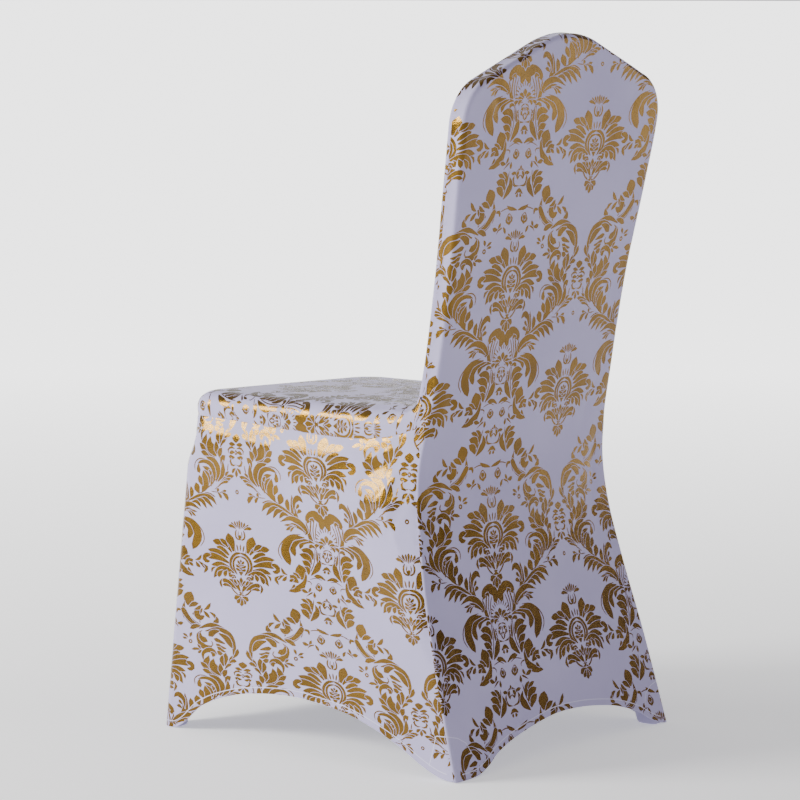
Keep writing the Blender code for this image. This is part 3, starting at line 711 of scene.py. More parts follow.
FRAME = """
T 7.4 45,96 52,86 62,76 82,69|R 6.4 82,68 71,70.4 59,64.6|P 6 74,66.6 94,75 119,73
P 7.4 86,64 106,70.6 127,63 134,43 132,27|R 8.6 109,67.4 100.6,65 91,56.6|P 8.4 108,63.4 121,57.4 131.6,42
R 5.6 119,48 109,51 99.6,53.6|R 5.8 121,40.6 111,41.6 103,46|R 5.2 120,34.6 113,36.8 105,41.4
R 6.2 117,27.6 112,30.4 105,34.6|P 9.4 118,12 118,22 120,34|P 6.4 116.4,11 112.6,20 114.6,29.6
P 8 124,15 130,23 131,31|C 8 81,65 73,57 76.6,44.4 88,37.6 97,41.4|R 7.8 76.6,61 78.4,53 89.6,47.6
S 1.7 95.4,49.6 98,44 92.6,38.6|R 5.6 132,27 138,34 140.6,43|R 5.4 126,18 131,22 138,22.4
R 4.4 118,7 123,13.4 129.4,16.6|O 7 60,44|P 3.4 56,49.6 52,52.6 46,55|P 4.2 59,50.6 60,54.6 62.6,59
P 3.2 54.6,48 50,48.2 46,49|R 4 79.4,33 72,33.8 62,31.6|P 3.4 78,34 76,37.4 71.6,41|P 3.8 79.4,33 77,30 73,27
C 7 83,13 82,28 91.6,34.4 101,31 100,23.6|R 6 94,30.6 99,28.8 97.6,24|L 14 109,-9 94,0 87.4,11 91.6,26
P 6.6 93,-1 85,7 77,13.6|P 6 98,-6 87,0 80,1.6|L 12 111,-5 101.6,5 97.4,12 99.6,22|L 7.6 113,-3 111,6 110,16
P 7.4 118.6,-8 117,0 122,6.4|P 7.4 119.6,-17 122,-8 128,-3.6|L 7.4 112,-38 122,-25 122.6,-10|S 1.6 133,-14 130.6,-25
R 4.8 117,-38.4 128,-32 143,-29|R 3.8 115.6,-40.2 126,-35.4 137.4,-32.6|R 3.4 114.6,-41.6 125,-37.6 133,-36.8
S 1.4 106,-48.4 113,-44 120,-39.6|L 10 109,-38 112.6,-24 105,-12 89.6,-5|S 1.5 68,-24 67.6,-15 75,-8.6 89,-8.4
C 6.2 75.4,-24 74,-15.6 86,-11.4 100,-16 106,-28 100,-45|R 6.6 76,-15 74.6,-21 77.6,-28
L 7.4 100,-45 99,-32 94,-23 82.6,-18.4|L 11 91,-47 92.4,-34 86.6,-23|P 4.2 95,-23 99,-26.6 98,-31
L 12 82,-55 88,-42 84,-23.4|P 7.4 83,-45 79,-38 75.6,-30.6|P 9.4 76,-57 72.6,-50 69.6,-41|P 7 60,-66 62,-57 60,-47
L 8.4 37,-88 50.6,-70 52,-55 51,-40|C 6.8 51.6,-66 48.6,-50 39,-43.4 33,-49|P 4.6 46.6,-66 41.6,-62 37.4,-62
P 3.8 47.6,-60 43,-55 41,-52|S 1.7 29.6,-94 35,-81 57,-67 86,-52 110,-34|P 3.6 80,-57.4 92,-55.6 107,-59.4
P 6.6 54,-70 78,-60.6 99,-61.6 108.6,-72|P 5.8 63,-70.6 87,-64.4 101.6,-76.6|P 5.4 62,-70 80,-66.8 90,-79
P 4.8 60,-72 71,-69.6 79.4,-77.6|T 9 33,-92 42.6,-80 59,-74.4 78,-81.6|R 4.8 36,-90.6 48,-84.4 62.6,-82.4
P 3 51,-85.4 62,-84.2 72.4,-85.6|P 4 51,-84.6 61,-87.4 70,-92.4|P 3 54,-85 60,-90 62,-94
S 1.2 99,-51.6 110,-52 119,-52|R 4 110,-52 112,-49.6 112,-45.6|R 4 116,-52.4 122,-50.8 128,-48
P 5.8 119.4,-51.6 127,-56 130.4,-63.6|R 4.4 111.4,-52 115,-55.4 118,-61
"""
CENTRE = """
K 11.5 8,253 5,263.4 15,270.6 28,265.4 31.6,258|P 4 26.6,263 20.6,264.6 18.6,259|S 1.5 13.4,261 18,249 18.6,236
S 1.6 19,262 22.4,248 21.6,235|S 2.2 23,265 27,248 24.6,234|T 5.8 26,231.6 31.4,248 33,260|P 6.6 0,236 0,240 0,246
P 5.8 2,234 6,237.4 11.6,240.4|P 4.6 4,233 9,234 16,234.6|P 4.4 5,229 13,230.4 20.6,232
K 4.4 14,231 20.4,229.4 20.6,223|P 4 6,232 12.4,229 12.6,225|S 1.6 0,226.6 6,224.6 8,218.4
R 4.4 9.4,213 7,218 2.6,222.6|C 4.2 0,203.6 11.4,205 14.6,212 12.6,220.6|S 2.4 0,206 3.4,211 0,216
R 3.6 4,211.6 7,215 7,218.6|P 3.6 12.6,216 16,217.4 20,219.6|R 2.4 0,216 0,220 0,223
D 6.4 21.6,232 31,233.4 43.6,229.6 47.6,220|D 9 31.6,235 50,231.6 59.6,221 55,207
D 12.6 38.6,237.4 62,233 72.6,215 63,192|S 1.6 45,240.6 64,236.4 81.4,220 83.4,208 77,198
R 4.6 21,226 27,228.2 32.6,224.4|S 1.5 22,225 21.6,209 23.4,198 30,182|L 8.6 27,181 17,194 13.8,203 16,212
T 3.6 17,205 18,216 19.4,225|P 9.4 24.6,207 29,217 46,219.4|P 9 27,198.6 32.4,208 48.6,212
P 8.6 29,189.6 32.4,197 43.6,202.6|P 7.6 31,181.6 32,189 39.4,193.6|H 16 0,200|R 5.4 1.6,177 10,181.6 21.6,181
S 1.1 7,175.6 16,178.4 29,174.4|B 11 12.4,164.6|S 1.6 38.6,162 38,169 31,171.4 26,169.4 26,165.4
P 16 41.6,172 44,182 48.6,196|P 6 45,174 51,176.4 58.6,181.6|C 8.6 36,185 37,170 46.6,158 66,150
S 1.4 38,158 35,170 34,181|P 9.4 48,166 55,170.6 64,176.6|P 4.4 56,171 60,168.6 64.6,165.6|P 3.6 61,155 56,160 55,163
P 4.2 67.4,176 74,178.4 79,186|P 5 69,173.6 71,169.6 77,165|P 4.2 73,174.4 80,171 85,164
P 4.8 81.6,171.6 88,167 82.6,157|P 4.2 21,155 21,150.4 21,145.4|P 3.4 32,153 29,156.6 26.6,162
P 5 32,153 37,154 44,156|T 2.4 24,154.4 29,151.4 36,146|S 2.6 0,146.4 4,142.6 11.6,137.6|P 4.2 6,138 12,139.4 19,139.6
C 4 0,122.6 10,123.6 13.8,129 12,137|R 4.4 4,131 6.6,136 3,141.6|S 1.8 0,136.4 2.4,135 4.4,131.6
P 3.2 0,142.6 0,146 0,149|P 9.4 27,127 30,135.4 36,144|P 5 31,134.6 37.4,138.4 45.6,141|P 9.4 30,120 35,128.4 48,132
P 9 33,111 37,118.4 47,124.4|L 8.4 31,108 22,118 17.8,126 21.4,136|S 1.5 23,143 25,131 31.6,113|H 17 0,120
B 12 15.4,82|P 4.4 1,91.6 6,93 17,95.6 22,99|S 1.3 8,92.6 21,95.4 34,92.4|P 15.4 55.6,101 56,111 61,124
P 6.6 57,99 64,104 74,107|C 8.6 49,108 49,90 61.6,76 82,68.6|S 1.6 49,79 45,91 47,103|K 4 35,86 36,92 45,92
P 8.6 63,88 72,93 81,99.6|P 5 83,98 89,101.6 95,111|P 5 82,96.4 87,92 94,85.6|P 4.4 93,95.4 100,92.4 104,85
P 6.6 104.4,90 106,84 97.4,77.6|P 3 77,76 75,81 79,85|P 4 26,72 23,68 20.4,62.4|P 4 36,69 34,73 31.4,78.4
P 5 36.6,70 42,70.2 47.6,72.4|T 2.4 28,71.4 36,68 39,63.6|K 8.6 74,99 70,90 76,84 84,88|P 5 66,96 74,99.6 78,105
P 12 148,12 148,17 148,23|P 4.4 149,9.4 154.4,10.4 161.6,11.4|S 2.4 150,5 157,6.6 162.4,4 161.8,-.6
P 4.2 150,0 155,.6 160.6,-.8|R 4.8 150,-6 155,-6 161.6,-4.6|C 3.4 148,-15 155,-16 158.8,-11.4 156.8,-7|O 6 148,0
P 4 149,-19.6 153.4,-22 156.4,-26.4|P 4.6 148,-21 148,-25 148,-31|O 6.4 148,-49|P 3.8 162,-24 167,-26.4 169.6,-30.6
"""


def spline(points, count):
    """Smooth line through a few points."""
    points = np.array(points, float)
    if len(points) == 2:
        return lerp(points[0], points[1], np.linspace(0, 1, count)[:, None])
    run = np.concatenate([[0], np.cumsum(np.linalg.norm(np.diff(points, axis=0), axis=1) ** 0.6)])
    slopes = np.gradient(points, run, axis=0)
    place = np.linspace(0, run[-1], count)
    row = np.clip(np.searchsorted(run, place) - 1, 0, len(run) - 2)
    step = (run[row + 1] - run[row])[:, None]
    return between(points, slopes, row, step, (place - run[row])[:, None] / step)


def blade(kind, width, points, halo=0.0):
    """Leaf, petal or stem: a bent line with a width that changes along it."""
    length = np.linalg.norm(np.diff(np.array(points), axis=0), axis=1).sum()
    count = int(np.clip(length / BLADE_STEP, *BLADE_POINTS))
    line = spline(points, count)
    along = unit(np.gradient(line, axis=0))
    across = left_of(line)
    table = np.array(WIDTHS[kind])
    share = np.interp(np.linspace(0, 1, count), table[:, 0], table[:, 1])
    half = share[:, None] * BOLD * width / 2 + halo
    if halo:
        line[0] -= along[0] * halo * 0.5
        line[-1] += along[-1] * halo
    return np.concatenate([line + across * half, (line - across * half)[::-1]])


def oval(x, y, width, height, count=14):
    turn = np.arange(count) * 2 * pi / count
    return np.stack([x + width / 2 * np.cos(turn), y + height / 2 * np.sin(turn)], 1)


def drawn(kind, width, points):
    """Shapes of one item, each with its ink: foil, or bare cloth between foil."""
    x, y = points[0]
    if kind == "O":
        return [(oval(x, y, width, width), FOIL), (oval(x, y, width * 0.36, width * 0.36, 8), BARE)]
    if kind == "H":
        right = ((0.25, -2), (0.5, -7.5), (0.36, -8), (0.2, -6.2))
        dome = ((0, 0), *right, *((-u, v) for u, v in right[::-1]))
        legs = [(blade("R", 4, [(x + side * 2.6, y - 6.6), (x + side * 3.8, y - 12)]), FOIL) for side in (-1, 1)]
        return [(np.array([(x + u * width, y + v) for u, v in dome]), FOIL), *legs]
    if kind == "B":
        outer = blade("P", width, [(x + 1, y + width * 0.56), (x, y), (x - 1, y - width * 0.72)])
        seed = blade("L", width * 0.34, [(x + 1.4, y + width * 0.34), (x, y), (x - 0.6, y - width * 0.4)])
        right = blade("S", width * 0.1, [(x + width * 0.22, y + width * 0.3), (x + width * 0.2, y - width * 0.2)])
        left = blade("S", width * 0.1, [(x - width * 0.14, y + width * 0.34), (x - width * 0.24, y - width * 0.1)])
        hollow = oval(x, y + 0.4, width * 0.66, width * 0.8)
        return [(outer, FOIL), (hollow, BARE), (seed, FOIL), (right, FOIL), (left, FOIL)]
    shapes = [(blade(kind, width, points), FOIL)]
    if kind != "S":
        shapes.insert(0, (blade(kind, width, points, HALO / 2), BARE))
    return shapes


def repeat_unit():
    """All shapes of one repeat, both halves, in millimetres."""
    made = []
    groups = [(table, 0, 0) for table in (CENTRE, FRAME, SPROUT, PALMETTE)]
    groups += [(table, DROP_X, DROP_Y) for table in (SPROUT, PALMETTE)]
    for table, right, up in groups:
        for item in table.replace("\n", "|").strip("|").split("|"):
            kind, width, *words = item.split()
            points = [tuple(float(part) for part in word.split(",")) for word in words]
            points = [(x + right, y + up) for x, y in points]
            straight = max(abs(x - points[0][0]) for x, _ in points) < MIDDLE_WIDTH
            middle = kind != "B" and straight and points[0][0] in (0.0, DROP_X)
            for shape, ink in drawn(kind, float(width), points):
                made.append((shape, ink))
                if not middle:
                    made.append((shape * (-1, 1), ink))
    for step in range(13):
        ray = np.array((cos(pi * step / 12), sin(pi * step / 12)))
        made.append((blade("S", 1.5, [ray * 14.5 + (0, 235), ray * 21 + (0, 235)]), FOIL))
    return made


UNIT = repeat_unit()


def warp(columns, points):
    """Flat places of the repeat's millimetres: each column lists x and rows of y, s and t."""
    keys = np.array([column[0] for column in columns], float)
    places = []
    for _, rows in columns:
        table = np.array(rows, float)
        y = np.clip(points[:, 1], table[0, 0], table[-1, 0])
        beyond = points[:, 1] - y
        place = np.stack([np.interp(y, table[:, 0], table[:, axis]) for axis in (1, 2)], 1)
        low = (table[1, 1:] - table[0, 1:]) / (table[1, 0] - table[0, 0])
        high = (table[-1, 1:] - table[-2, 1:]) / (table[-1, 0] - table[-2, 0])
        slope = np.where((beyond < 0)[:, None], low, high)
        places.append(place + beyond[:, None] * slope)
    places = np.array(places)
    column = np.clip(np.searchsorted(keys, points[:, 0]) - 1, 0, len(keys) - 2)
    share = (points[:, 0] - keys[column]) / (keys[column + 1] - keys[column])
    index = np.arange(len(points))
    return lerp(places[column, index], places[column + 1, index], share[:, None])


def damask(columns, border):
    """Printed shapes that touch a flat cut, each with its ink."""
    low, high = border.min(0) - 0.001, border.max(0) + 0.001
    spots = np.concatenate([shape for shape, _ in UNIT])
    starts = np.cumsum([0] + [len(shape) for shape, _ in UNIT])
    shapes = []
    for column in range(-2, 3):
        for row in range(-3, 4):
            flat = warp(columns, spots + (column * REPEAT_X, row * REPEAT_Y))
            least = np.minimum.reduceat(flat, starts[:-1])
            most = np.maximum.reduceat(flat, starts[:-1])
            touch = ((most > low) & (least < high)).all(1)
            others = [np.stack(pair, 1) for pair in ((least[:, 0], most[:, 1]), (most[:, 0], least[:, 1]))]
            corners = np.concatenate([least, most, *others])
            within = inside_border(corners, border).reshape(4, -1).any(0)
            for index in np.flatnonzero(touch & within):
                shapes.append((flat[starts[index]:starts[index + 1]], UNIT[index][1]))
    return shapes


def plain_columns(s, t, up=0.001, across=0.001):
    """Columns of an even print whose palmette's middle lies at a flat place."""
    sides = (-REPEAT_X / 2, REPEAT_X / 2)
    return tuple((x, [(y, s + x * across, t + y * up) for y in (-REPEAT_Y, REPEAT_Y)]) for x in sides)


HEM_TURN = 0.008
THREAD_WIDTH = 0.0011
PATCH_STEP = 0.003
SIDE_PATCH = ((0.254, 0.0572), (0.2282, 0.0553), (0.222, 0.030), (0.2175, 0.015))
BACK_PATCH = ((0.229, 0.0573), (0.212, 0.0530), (0.1975, 0.0448), (0.190, 0.030))
# Columns that place the print on the cloth, from motif centres read off the photo in the same way
BACK_COLUMNS = (
    (-296, (
        (-110, 0.368, 0.176), (0, 0.360, 0.286), (225, 0.354, 0.508), (335, 0.358, 0.6215), (560, 0.386, 0.8485),
    )),
    (-148, ((-157, 0.222, 0.144), (178, 0.212, 0.464), (513, 0.236, 0.792))),
    (0, (
        (-110, 0.078, 0.176), (-65, 0.0733, 0.221), (0, 0.0648, 0.286), (40, 0.0618, 0.326), (120, 0.0618, 0.406),
        (225, 0.0635, 0.508), (335, 0.065, 0.6215), (450, 0.077, 0.738), (560, 0.090, 0.8485),
    )),
    (148, ((-157, -0.080, 0.144), (178, -0.080, 0.464), (335, -0.078, 0.618), (513, -0.073, 0.792))),
    (296, ((-110, -0.222, 0.176), (0, -0.224, 0.286), (335, -0.222, 0.6215), (560, -0.230, 0.8485))),
)
SIDE_COLUMNS = (
    (-296, ((-335, -0.272, 0.083), (0, -0.276, 0.370))),
    (-148, ((-335, -0.115, 0.0853), (-157, -0.127, 0.2305), (-49, -0.137, 0.329), (0, -0.137, 0.3825))),
    (0, (
        (-335, 0.0481, 0.083), (-170, 0.0237, 0.2187), (-110, 0.0236, 0.266), (-57, 0.0142, 0.3182),
        (0, 0.0023, 0.370),
    )),
    (148, ((-335, 0.200, 0.075), (-157, 0.1785, 0.2161), (-49, 0.1631, 0.3200), (0, 0.1613, 0.3800))),
    (296, ((-335, 0.352, 0.083), (0, 0.310, 0.370))),
)


# Soft relief: a dip along the seams, and wrinkles that the pull of the cloth leaves

def thread(line, away=0.0):
    """Stitched line beside another, to its left where away is positive."""
    line = even(line, BORDER_STEP if away else PATCH_STEP)
    if away:
        line = line + left_of(line) * away
    side = left_of(line) * THREAD_WIDTH / 2
    return np.concatenate([line + side, (line - side)[::-1]]), THREAD


class Relief:
    """Height over a flat cut: dips along its seams and soft wrinkles in its own sizes."""

    def __init__(self, seams, wrinkles=(), ledge=None):
        self.tree = tree_of(np.concatenate([even(seam, SEAM_STEP) for seam in seams]))
        self.wrinkles, self.ledge = wrinkles, ledge

    def __call__(self, flat):
        away = np.array([self.tree.find((s, t, 0))[2] for s, t in flat])
        height = -DIP_DEPTH * np.exp(-(away / DIP_REACH) ** 2)
        shown = 1 - np.exp(-(away / WRINKLE_CLEAR) ** 2)
        for s, t, angle, length, width, rise in self.wrinkles:
            turn = radians(angle)
            across, up = flat[:, 0] - s, flat[:, 1] - t
            along = across * cos(turn) + up * sin(turn)
            beside = up * cos(turn) - across * sin(turn)
            height = height + rise * shown * np.exp(-(along / length) ** 2 - (beside / width) ** 2)
        if self.ledge is not None:
            order = np.argsort(self.ledge[:, 0])
            top = np.interp(flat[:, 0], self.ledge[order, 0], self.ledge[order, 1])
            crease = read_rows(LEDGE, 1, flat[:, 0])
            down = np.clip((top - flat[:, 1]) / (top - crease), 0, 1)
            below = np.maximum(crease - flat[:, 1], 0)
            rise = LEDGE_RISE * read_rows(LEDGE, 2, flat[:, 0])
            height = height + rise * down * np.exp(-(below / LEDGE_FADE) ** 2)
        return height


DIP_DEPTH = 0.0009
DIP_REACH = 0.0035
WRINKLE_CLEAR = 0.012
LEDGE = (
    (-0.225, 0.4080, 0.0), (-0.195, 0.4065, 1.0), (-0.147, 0.4020, 1.0), (-0.034, 0.3937, 1.0), (0.054, 0.3912, 1.0),
    (0.100, 0.3980, 0.6), (0.140, 0.4100, 0.0),
)
LEDGE_RISE = 0.0040
LEDGE_FADE = 0.060
BACK_WRINKLES = (
    (0.150, 0.455, 70, 0.055, 0.010, 0.0012), (-0.150, 0.455, 110, 0.055, 0.010, 0.0012),
    (0.165, 0.400, 84, 0.050, 0.007, -0.0010), (0.172, 0.330, 80, 0.060, 0.008, 0.0010),
    (-0.168, 0.340, 98, 0.060, 0.008, 0.0010), (0.150, 0.860, 62, 0.030, 0.010, 0.0008),
    (-0.150, 0.860, 118, 0.030, 0.010, 0.0008), (0.192, 0.150, 80, 0.060, 0.008, -0.0009),
)
SIDE_WRINKLES = (
    (0.125, 0.405, 25, 0.045, 0.0065, 0.0016), (0.110, 0.385, 40, 0.050, 0.0075, -0.0014),
    (0.130, 0.365, 55, 0.050, 0.0070, 0.0015), (0.060, 0.402, 12, 0.060, 0.0080, 0.0010),
    (0.148, 0.330, 68, 0.055, 0.0070, -0.0010), (-0.060, 0.395, 4, 0.080, 0.0100, 0.0008),
    (-0.190, 0.120, 75, 0.060, 0.0090, 0.0010), (0.195, 0.080, 66, 0.045, 0.0070, 0.0010),
)
SEAT_WRINKLES = (
    (0.120, 0.080, 35, 0.050, 0.007, 0.0009), (-0.115, 0.085, 145, 0.050, 0.007, 0.0009),
    (0.0, -0.02, 8, 0.110, 0.016, 0.0006), (0.206, 0.105, 96, 0.045, 0.0050, 0.0013),
    (0.216, 0.075, 82, 0.055, 0.0045, -0.0012), (0.224, 0.095, 72, 0.050, 0.0045, 0.0012),
    (-0.206, 0.105, 84, 0.045, 0.0050, 0.0013), (-0.218, 0.080, 98, 0.055, 0.0045, -0.0012),
    (0.180, 0.100, 118, 0.045, 0.0060, -0.0010),
)


# Pieces

def finish_piece(item, node):
    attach(item, "root")
    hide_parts(node)
    return item


def sheet_of(item, node):
    return finish_piece(item, node)


def back_place(rim, face, sign, bumps):
    """Function that places the flat points of a piece of the back."""

    def place(flat):
        near = rim.near(flat)
        return relief(lambda spots: shifted(rim.place(spots, near, face, sign)), flat, bumps)

    return place


def outside_back():
    rim = Rim(HEM_CLEAR, wrap_radius, wrap_depth)
    outer = rim.ring(2.0)
    x = np.linspace(rim.inner[-1, 0], rim.inner[0, 0], 240)
    hem = np.stack([x, hem_z(REAR_HEM, x)], 1)
    border = np.concatenate([even(outer, BORDER_STEP), hem])
    lines = [even(rim.ring(share), LINE_STEP) for share in (0.0, 0.34, 0.67, 1.0, 1.5)]
    place = back_place(rim, rear_face, -1, Relief([outer], BACK_WRINKLES))
    shapes = damask(BACK_COLUMNS, border)
    shapes.append(thread(hem[6:-6], HEM_TURN))
    shapes += [thread(np.array(BACK_PATCH) * (sign, 1)) for sign in (1, -1)]
    item = cloth_mesh("outside_back_cloth", border, lines, shapes, place, flip=True)
    return sheet_of(item, "outside_back")


def inside_back():
    reach = EDGE_RADIUS + EDGE_STRAIGHT - GAP
    rim = Rim(JOIN_Z, lambda z: np.full_like(z, EDGE_RADIUS), lambda z: np.full_like(z, reach))
    foot = np.stack([np.linspace(rim.inner[-1, 0], rim.inner[0, 0], 90), np.full(90, JOIN_Z)], 1)
    border = np.concatenate([even(rim.ring(2.0), BORDER_STEP), foot])
    lines = [even(rim.ring(share), LINE_STEP) for share in (0.0, 0.34, 0.67, 1.0)]
    place = back_place(rim, inside_face, 1, Relief([border]))
    shapes = damask(plain_columns(0.0, 0.700), border)
    item = cloth_mesh("inside_back_cloth", border, lines, shapes, place)
    return sheet_of(item, "inside_back")


def side_skirt(sign):
    parts = side_border()
    border = joined(parts)
    bumps = Relief(parts[1:], SIDE_WRINKLES, ledge=parts[2])

    def base(flat):
        x, y = side_flat(flat[:, 0], flat[:, 1])
        return shifted(np.stack([sign * x, y, flat[:, 1]], 1))

    def place(flat):
        return relief(base, flat, bumps)

    z = np.linspace(0.0, float(seam_z(1.0)), 160)
    corner = [np.stack([side_ends(z)[1] - front_corner(z) * turn, z], 1) for turn in (0.0, 0.25, 0.5)]
    shapes = damask(SIDE_COLUMNS, border)
    shapes += [thread(parts[0][6:-6], HEM_TURN), thread(SIDE_PATCH)]
    name = "skirt_left" if sign > 0 else "skirt_right"
    item = cloth_mesh(name + "_cloth", border, corner, shapes, place, flip=sign < 0)
    return sheet_of(item, name)


def front_skirt():
    parts = front_border()
    border = joined(parts)
    bumps = Relief(parts[1:])

    def base(flat):
        x, y = front_flat(flat[:, 0], flat[:, 1])
        return shifted(np.stack([x, y, flat[:, 1]], 1))

    def place(flat):
        return relief(base, flat, bumps)

    z = np.linspace(0.0, float(seam_z(1.0)), 160)
    lines = []
    for turn in (0.0, 0.25, 0.5):
        edge = front_half(z) - front_corner(z) + front_corner(z) * turn
        lines += [np.stack([edge, z], 1), np.stack([-edge, z], 1)]
    shapes = damask(plain_columns(0.0, 0.300, up=0.0009), border)
    shapes.append(thread(parts[0][6:-6], HEM_TURN))
    item = cloth_mesh("skirt_front_cloth", border, lines, shapes, place)
    return sheet_of(item, "skirt_front")


class Carrier:
    """Fine grids that carry flat places into space, for a piece with no plain formula."""

    def __init__(self, *grids):
        faces, count = [], 0
        for flat, _ in grids:
            rows, columns = flat.shape[:2]
            index = np.arange(rows * columns).reshape(rows, columns) + count
            a, b, c, d = index[:-1, :-1], index[:-1, 1:], index[1:, 1:], index[1:, :-1]
            faces += [np.stack(corners, -1).reshape(-1, 3) for corners in ((a, b, c), (a, c, d))]
            count += rows * columns
        self.faces = np.concatenate(faces)
        self.flat = np.concatenate([flat.reshape(-1, 2) for flat, _ in grids])
        self.places = np.concatenate([places.reshape(-1, 3) for _, places in grids])
        level = np.concatenate([self.flat, np.zeros((count, 1))], 1)
        self.tree = BVHTree.FromPolygons(level.tolist(), self.faces.tolist())

    def __call__(self, flat):
        face = [self.tree.find_nearest((s, t, 0.0))[2] for s, t in flat.tolist()]
        corners = self.faces[face]
        a, b, c = (self.flat[corners[:, k]] for k in range(3))
        area = np.cross(b - a, c - a)
        first = np.cross(b - flat, c - flat) / area
        second = np.cross(c - flat, a - flat) / area
        shares = np.stack([first, second, 1 - first - second], 1)
        return np.einsum("ij,ijk->ik", shares, self.places[corners])


def seat_outline(u, v):
    """Plan of the seat on its outer edge, and the same place drawn in by the rolled edge."""
    level = seam_z(v)
    edge, side = side_flat(side_share(v, level), level)
    level = np.full_like(u, float(seam_z(1.0)))
    corner = front_corner(level)
    flat = front_half(level) - corner
    reach = np.abs(u)
    run = np.minimum(reach / (1 - ARC_SHARE), 1.0) * flat
    s = run + np.maximum(reach - 1 + ARC_SHARE, 0.0) / ARC_SHARE * pi / 4 * corner
    across, ahead = front_flat(np.where(u < 0, -s, s), level)
    corner_x, corner_y = front_flat(flat + corner * pi / 4, level)
    roll = lerp(EDGE_RADIUS, SEAT_RADIUS, blend(0.0, SEAT_ROLL_GROWS, v))
    x = across / corner_x * edge
    y = side + v * (ahead - corner_y)
    return x, y, x * (1 - roll / edge), y + roll * v ** SEAT_FLATNESS


def seat_point(u, v):
    """Top of the seat: u across from -1 to 1, v from the foot of the back to the front."""
    x, y = seat_outline(u, v)[2:]
    level = SEAT_EDGE_Z + SEAT_TILT * x / SEAT_HALF
    crown = SEAT_CROWN * (1 - u ** SEAT_FLATNESS) * (1 - v ** SEAT_FLATNESS)
    z = level + crown + pull_folds(x, y)
    rear = side_ends(np.full_like(u, float(seam_z(0.0))))[0]
    climb = np.maximum(1 - (rear - y) / JOIN_FILLET, 0.0)
    z = lerp(z, JOIN_Z - JOIN_GAP, 1 - np.sqrt(1 - np.minimum(climb, 1.0) ** 2))
    return np.stack([x, y - padding(x / SEAT_HALF, 1.0) * (1 - v) ** PAD_FADE, z], -1)


def seat_grid(count=260, rings=14):
    """Flat and space places of the seat: its top and the rolled edge round three sides."""
    u, v = np.meshgrid(np.linspace(-1, 1, count + 1), np.linspace(0, 1, count + 1), indexing="ij")
    top = seat_point(u, v)
    climb = np.maximum(top[..., 2] - SEAT_EDGE_Z - SEAT_CLEAR, 0)
    flat = np.stack([top[..., 0], top[..., 1] + SEAT_CLIMB * climb], -1)
    walk_u, walk_v, inner, inner_flat = (
        np.concatenate([grid[0, :-1], grid[:, -1], grid[-1, ::-1][1:]]) for grid in (u, v, top, flat)
    )
    outer_x, outer_y = seat_outline(walk_u, walk_v)[:2]
    level = seam_z(walk_v)
    drop = np.minimum(SEAT_RADIUS, SEAT_DROP_SHARE * (inner[:, 2] - level))
    near = (1 - walk_v) ** EDGE_FADE
    ways = [(sin(turn), inner[:, 2] - drop * (1 - cos(turn))) for turn in np.linspace(0, pi / 2, rings)[1:]]
    ways += [(1.0, lerp(inner[:, 2] - drop, level + GAP / 2, share)) for share in (0.34, 0.67, 1.0)]
    places = [inner]
    for out, z in ways:
        x = outer_x + walk_u * near * (back_half(z) - back_half(level))
        y = outer_y + near * (back_y(z) - back_y(level) - JOIN_GAP * blend(level, JOIN_Z, z))
        places.append(np.stack([lerp(inner[:, 0], x, out), lerp(inner[:, 1], y, out), z], 1))
    places = np.stack(places)
    away = unit(np.stack([outer_x, outer_y], 1) - inner[:, :2])
    run = np.cumsum(np.linalg.norm(np.diff(places, axis=0), axis=2), axis=0)
    run = np.concatenate([np.zeros((1, len(inner))), run])
    ring_flat = inner_flat[None] + away[None] * run[..., None]
    return flat, top, ring_flat, places


def seat_top():
    flat, top, ring_flat, places = seat_grid()
    carrier = Carrier((flat, top), (ring_flat, places))
    front, right, rear, left = (
        even(part, BORDER_STEP) for part in (ring_flat[-1], ring_flat[::-1, -1], flat[::-1, 0], ring_flat[:, 0])
    )
    border = np.concatenate([front, right[1:-1], rear, left[1:-1]])
    lines = [even(ring_flat[index], LINE_STEP) for index in (0, 4, 9, 13)]

    def base(spots):
        return shifted(carrier(spots))

    def place(spots):
        return relief(base, spots, bumps)

    bumps = Relief([border], SEAT_WRINKLES)
    shapes = damask(plain_columns(-0.084, 0.045), border)
    item = cloth_mesh("seat_top_cloth", border, lines, shapes, place)
    return sheet_of(item, "seat_top")


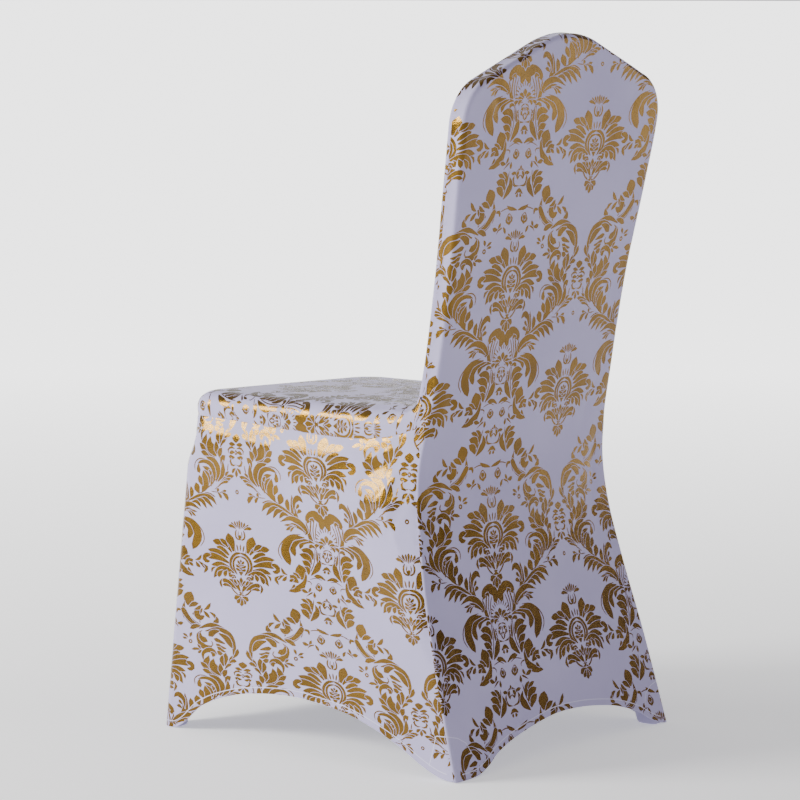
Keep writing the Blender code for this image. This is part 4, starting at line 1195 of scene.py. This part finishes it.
def foot_pocket(name, side, end, width, depth, height, squareness):
    """Cup of cloth inside a corner of the hem, which a foot of the chair stands in."""
    off = CLOTH + POCKET_CLEAR
    sides = 64

    def place(turn, inset, z):
        a = np.abs(np.cos(turn)) ** (2 / squareness) * np.sign(np.cos(turn))
        b = np.abs(np.sin(turn)) ** (2 / squareness) * np.sign(np.sin(turn))
        a = a * (1 - 2 * inset / width)
        b = b * (1 - 2 * inset / depth)
        outer_y = back_y(z) - off if end > 0 else front_y(z) + off
        y = outer_y - end * depth * (1 - b * end) / 2
        x = side_x(y, np.full_like(y, z)) - off - width * (1 - a) / 2
        return np.stack([side * x, y + SHIFT_Y, np.full_like(y, z)], 1)

    turns = np.arange(sides) * 2 * pi / sides
    levels = [(POCKET_ROLL, 0.0), (0.3 * POCKET_ROLL, 0.3 * POCKET_ROLL), (0.0, POCKET_ROLL)]
    levels += [(0.0, z) for z in np.linspace(POCKET_ROLL, height, 9)[1:]]
    outer = [place(turns, inset, z) for inset, z in levels]
    inner = [place(turns, inset + CLOTH, max(z, CLOTH)) for inset, z in levels[::-1]]
    rings = outer + inner
    points = np.concatenate(rings)
    faces = []
    for ring in range(len(rings) - 1):
        for step in range(sides):
            after = (step + 1) % sides
            a, b = ring * sides + step, ring * sides + after
            faces.append((a, b, b + sides, a + sides) if side > 0 else (b, a, a + sides, b + sides))
    bottom = list(range(sides))
    top = list(range(len(points) - sides, len(points)))
    faces.append(bottom[::-1] if side > 0 else bottom)
    faces.append(top if side > 0 else top[::-1])
    data = bpy.data.meshes.new(name)
    data.from_pydata(points.tolist(), [], faces)
    data.materials.append(CLOTH_FINISH)
    data.shade_smooth()
    item = added(name + "_cloth", data)
    return finish_piece(item, name)


outside_back()
inside_back()
seat_top()
for pocket in POCKETS:
    foot_pocket(*pocket)
side_skirt(1)
side_skirt(-1)
front_skirt()


# Camera, light, floor and world

FLOOR_HALF = 400.0
FLOOR_PAINTED_GLOW = 2.6
WORLD_STRENGTH = 0.65


def camera():
    azimuth, elevation, distance = radians(129.263), radians(6.887), 4.502
    target = Vector((0.027, 0.0, 0.448))
    back = Vector((sin(azimuth) * cos(elevation), -cos(azimuth) * cos(elevation), sin(elevation)))
    data = bpy.data.cameras.new("camera")
    data.sensor_width = 36.0
    data.lens = 151.32
    item = added("camera", data)
    right = Vector((cos(azimuth), sin(azimuth), 0))
    up = back.cross(right)
    turn = Matrix((right, up, back)).transposed().to_4x4()
    item.matrix_world = Matrix.Translation(target + back * distance) @ turn
    bpy.context.scene.camera = item


def area_light(name, place, target, size, power, colour):
    data = bpy.data.lights.new(name, "AREA")
    data.shape = "RECTANGLE"
    data.size, data.size_y = size
    data.energy = power
    data.color = colour
    item = added(name, data)
    item.location = place
    item.rotation_euler = (Vector(target) - Vector(place)).to_track_quat("-Z", "Y").to_euler()


def floor():
    """White floor with a painted glow that grows with the distance behind the cover, so the background reads white;
    near the cover the glow stays dim as a painted soft shadow.
    """
    data = bpy.data.meshes.new("floor")
    corners = [(x * FLOOR_HALF, y * FLOOR_HALF, 0) for x, y in ((-1, -1), (1, -1), (1, 1), (-1, 1))]
    data.from_pydata(corners, [], [(0, 1, 2, 3)])
    item = added("floor", data)
    finish, nodes, links, shader = node_material("floor")
    shader.inputs["Base Color"].default_value = (0.93, 0.93, 0.94, 1)
    shader.inputs["Roughness"].default_value = 0.85
    place = nodes.new("ShaderNodeTexCoord")
    # Painted light: the emission ramps from dim near the cover (painted soft shadow) to bright far behind it (painted
    # white backdrop)
    away = reach_of(nodes, links, place.outputs["Object"], (-0.776 / 5, -0.630 / 5, 0.0))
    painted_glow = ramp_of(nodes, links, away, (0.16,) * 3, (1.0,) * 3, 0.02, 0.85)
    links.new(painted_glow, shader.inputs["Emission Color"])
    shader.inputs["Emission Strength"].default_value = FLOOR_PAINTED_GLOW
    data.materials.append(finish)


def world():
    """Pale studio that is darker towards two sides, which the foil shows."""
    made = bpy.data.worlds.new("studio")
    made.use_nodes = True
    nodes, links = made.node_tree.nodes, made.node_tree.links
    place = nodes.new("ShaderNodeTexCoord")

    def shade_towards(direction, low, high, start, end):
        facing = reach_of(nodes, links, place.outputs["Generated"], direction)
        return ramp_of(nodes, links, facing, low, high, start, end)

    behind = shade_towards((-0.45, 0.89, 0.0), (1.0, 1.0, 1.0), (0.50, 0.46, 0.54), 0.0, 0.75)
    beside = shade_towards((0.774, -0.629, 0.07), (1.0, 1.0, 1.0), (0.12, 0.11, 0.12), 0.88, 0.97)
    both = nodes.new("ShaderNodeMixRGB")
    both.blend_type = "MULTIPLY"
    both.inputs["Fac"].default_value = 1.0
    links.new(behind, both.inputs[1])
    links.new(beside, both.inputs[2])
    background = nodes["Background"]
    links.new(both.outputs[0], background.inputs["Color"])
    background.inputs["Strength"].default_value = WORLD_STRENGTH
    bpy.context.scene.world = made


camera()
floor()
world()
area_light("key", (2.40, -1.95, 1.52), (0, 0, 0.4), (1.4, 0.95), 140, (1.0, 0.99, 0.96))
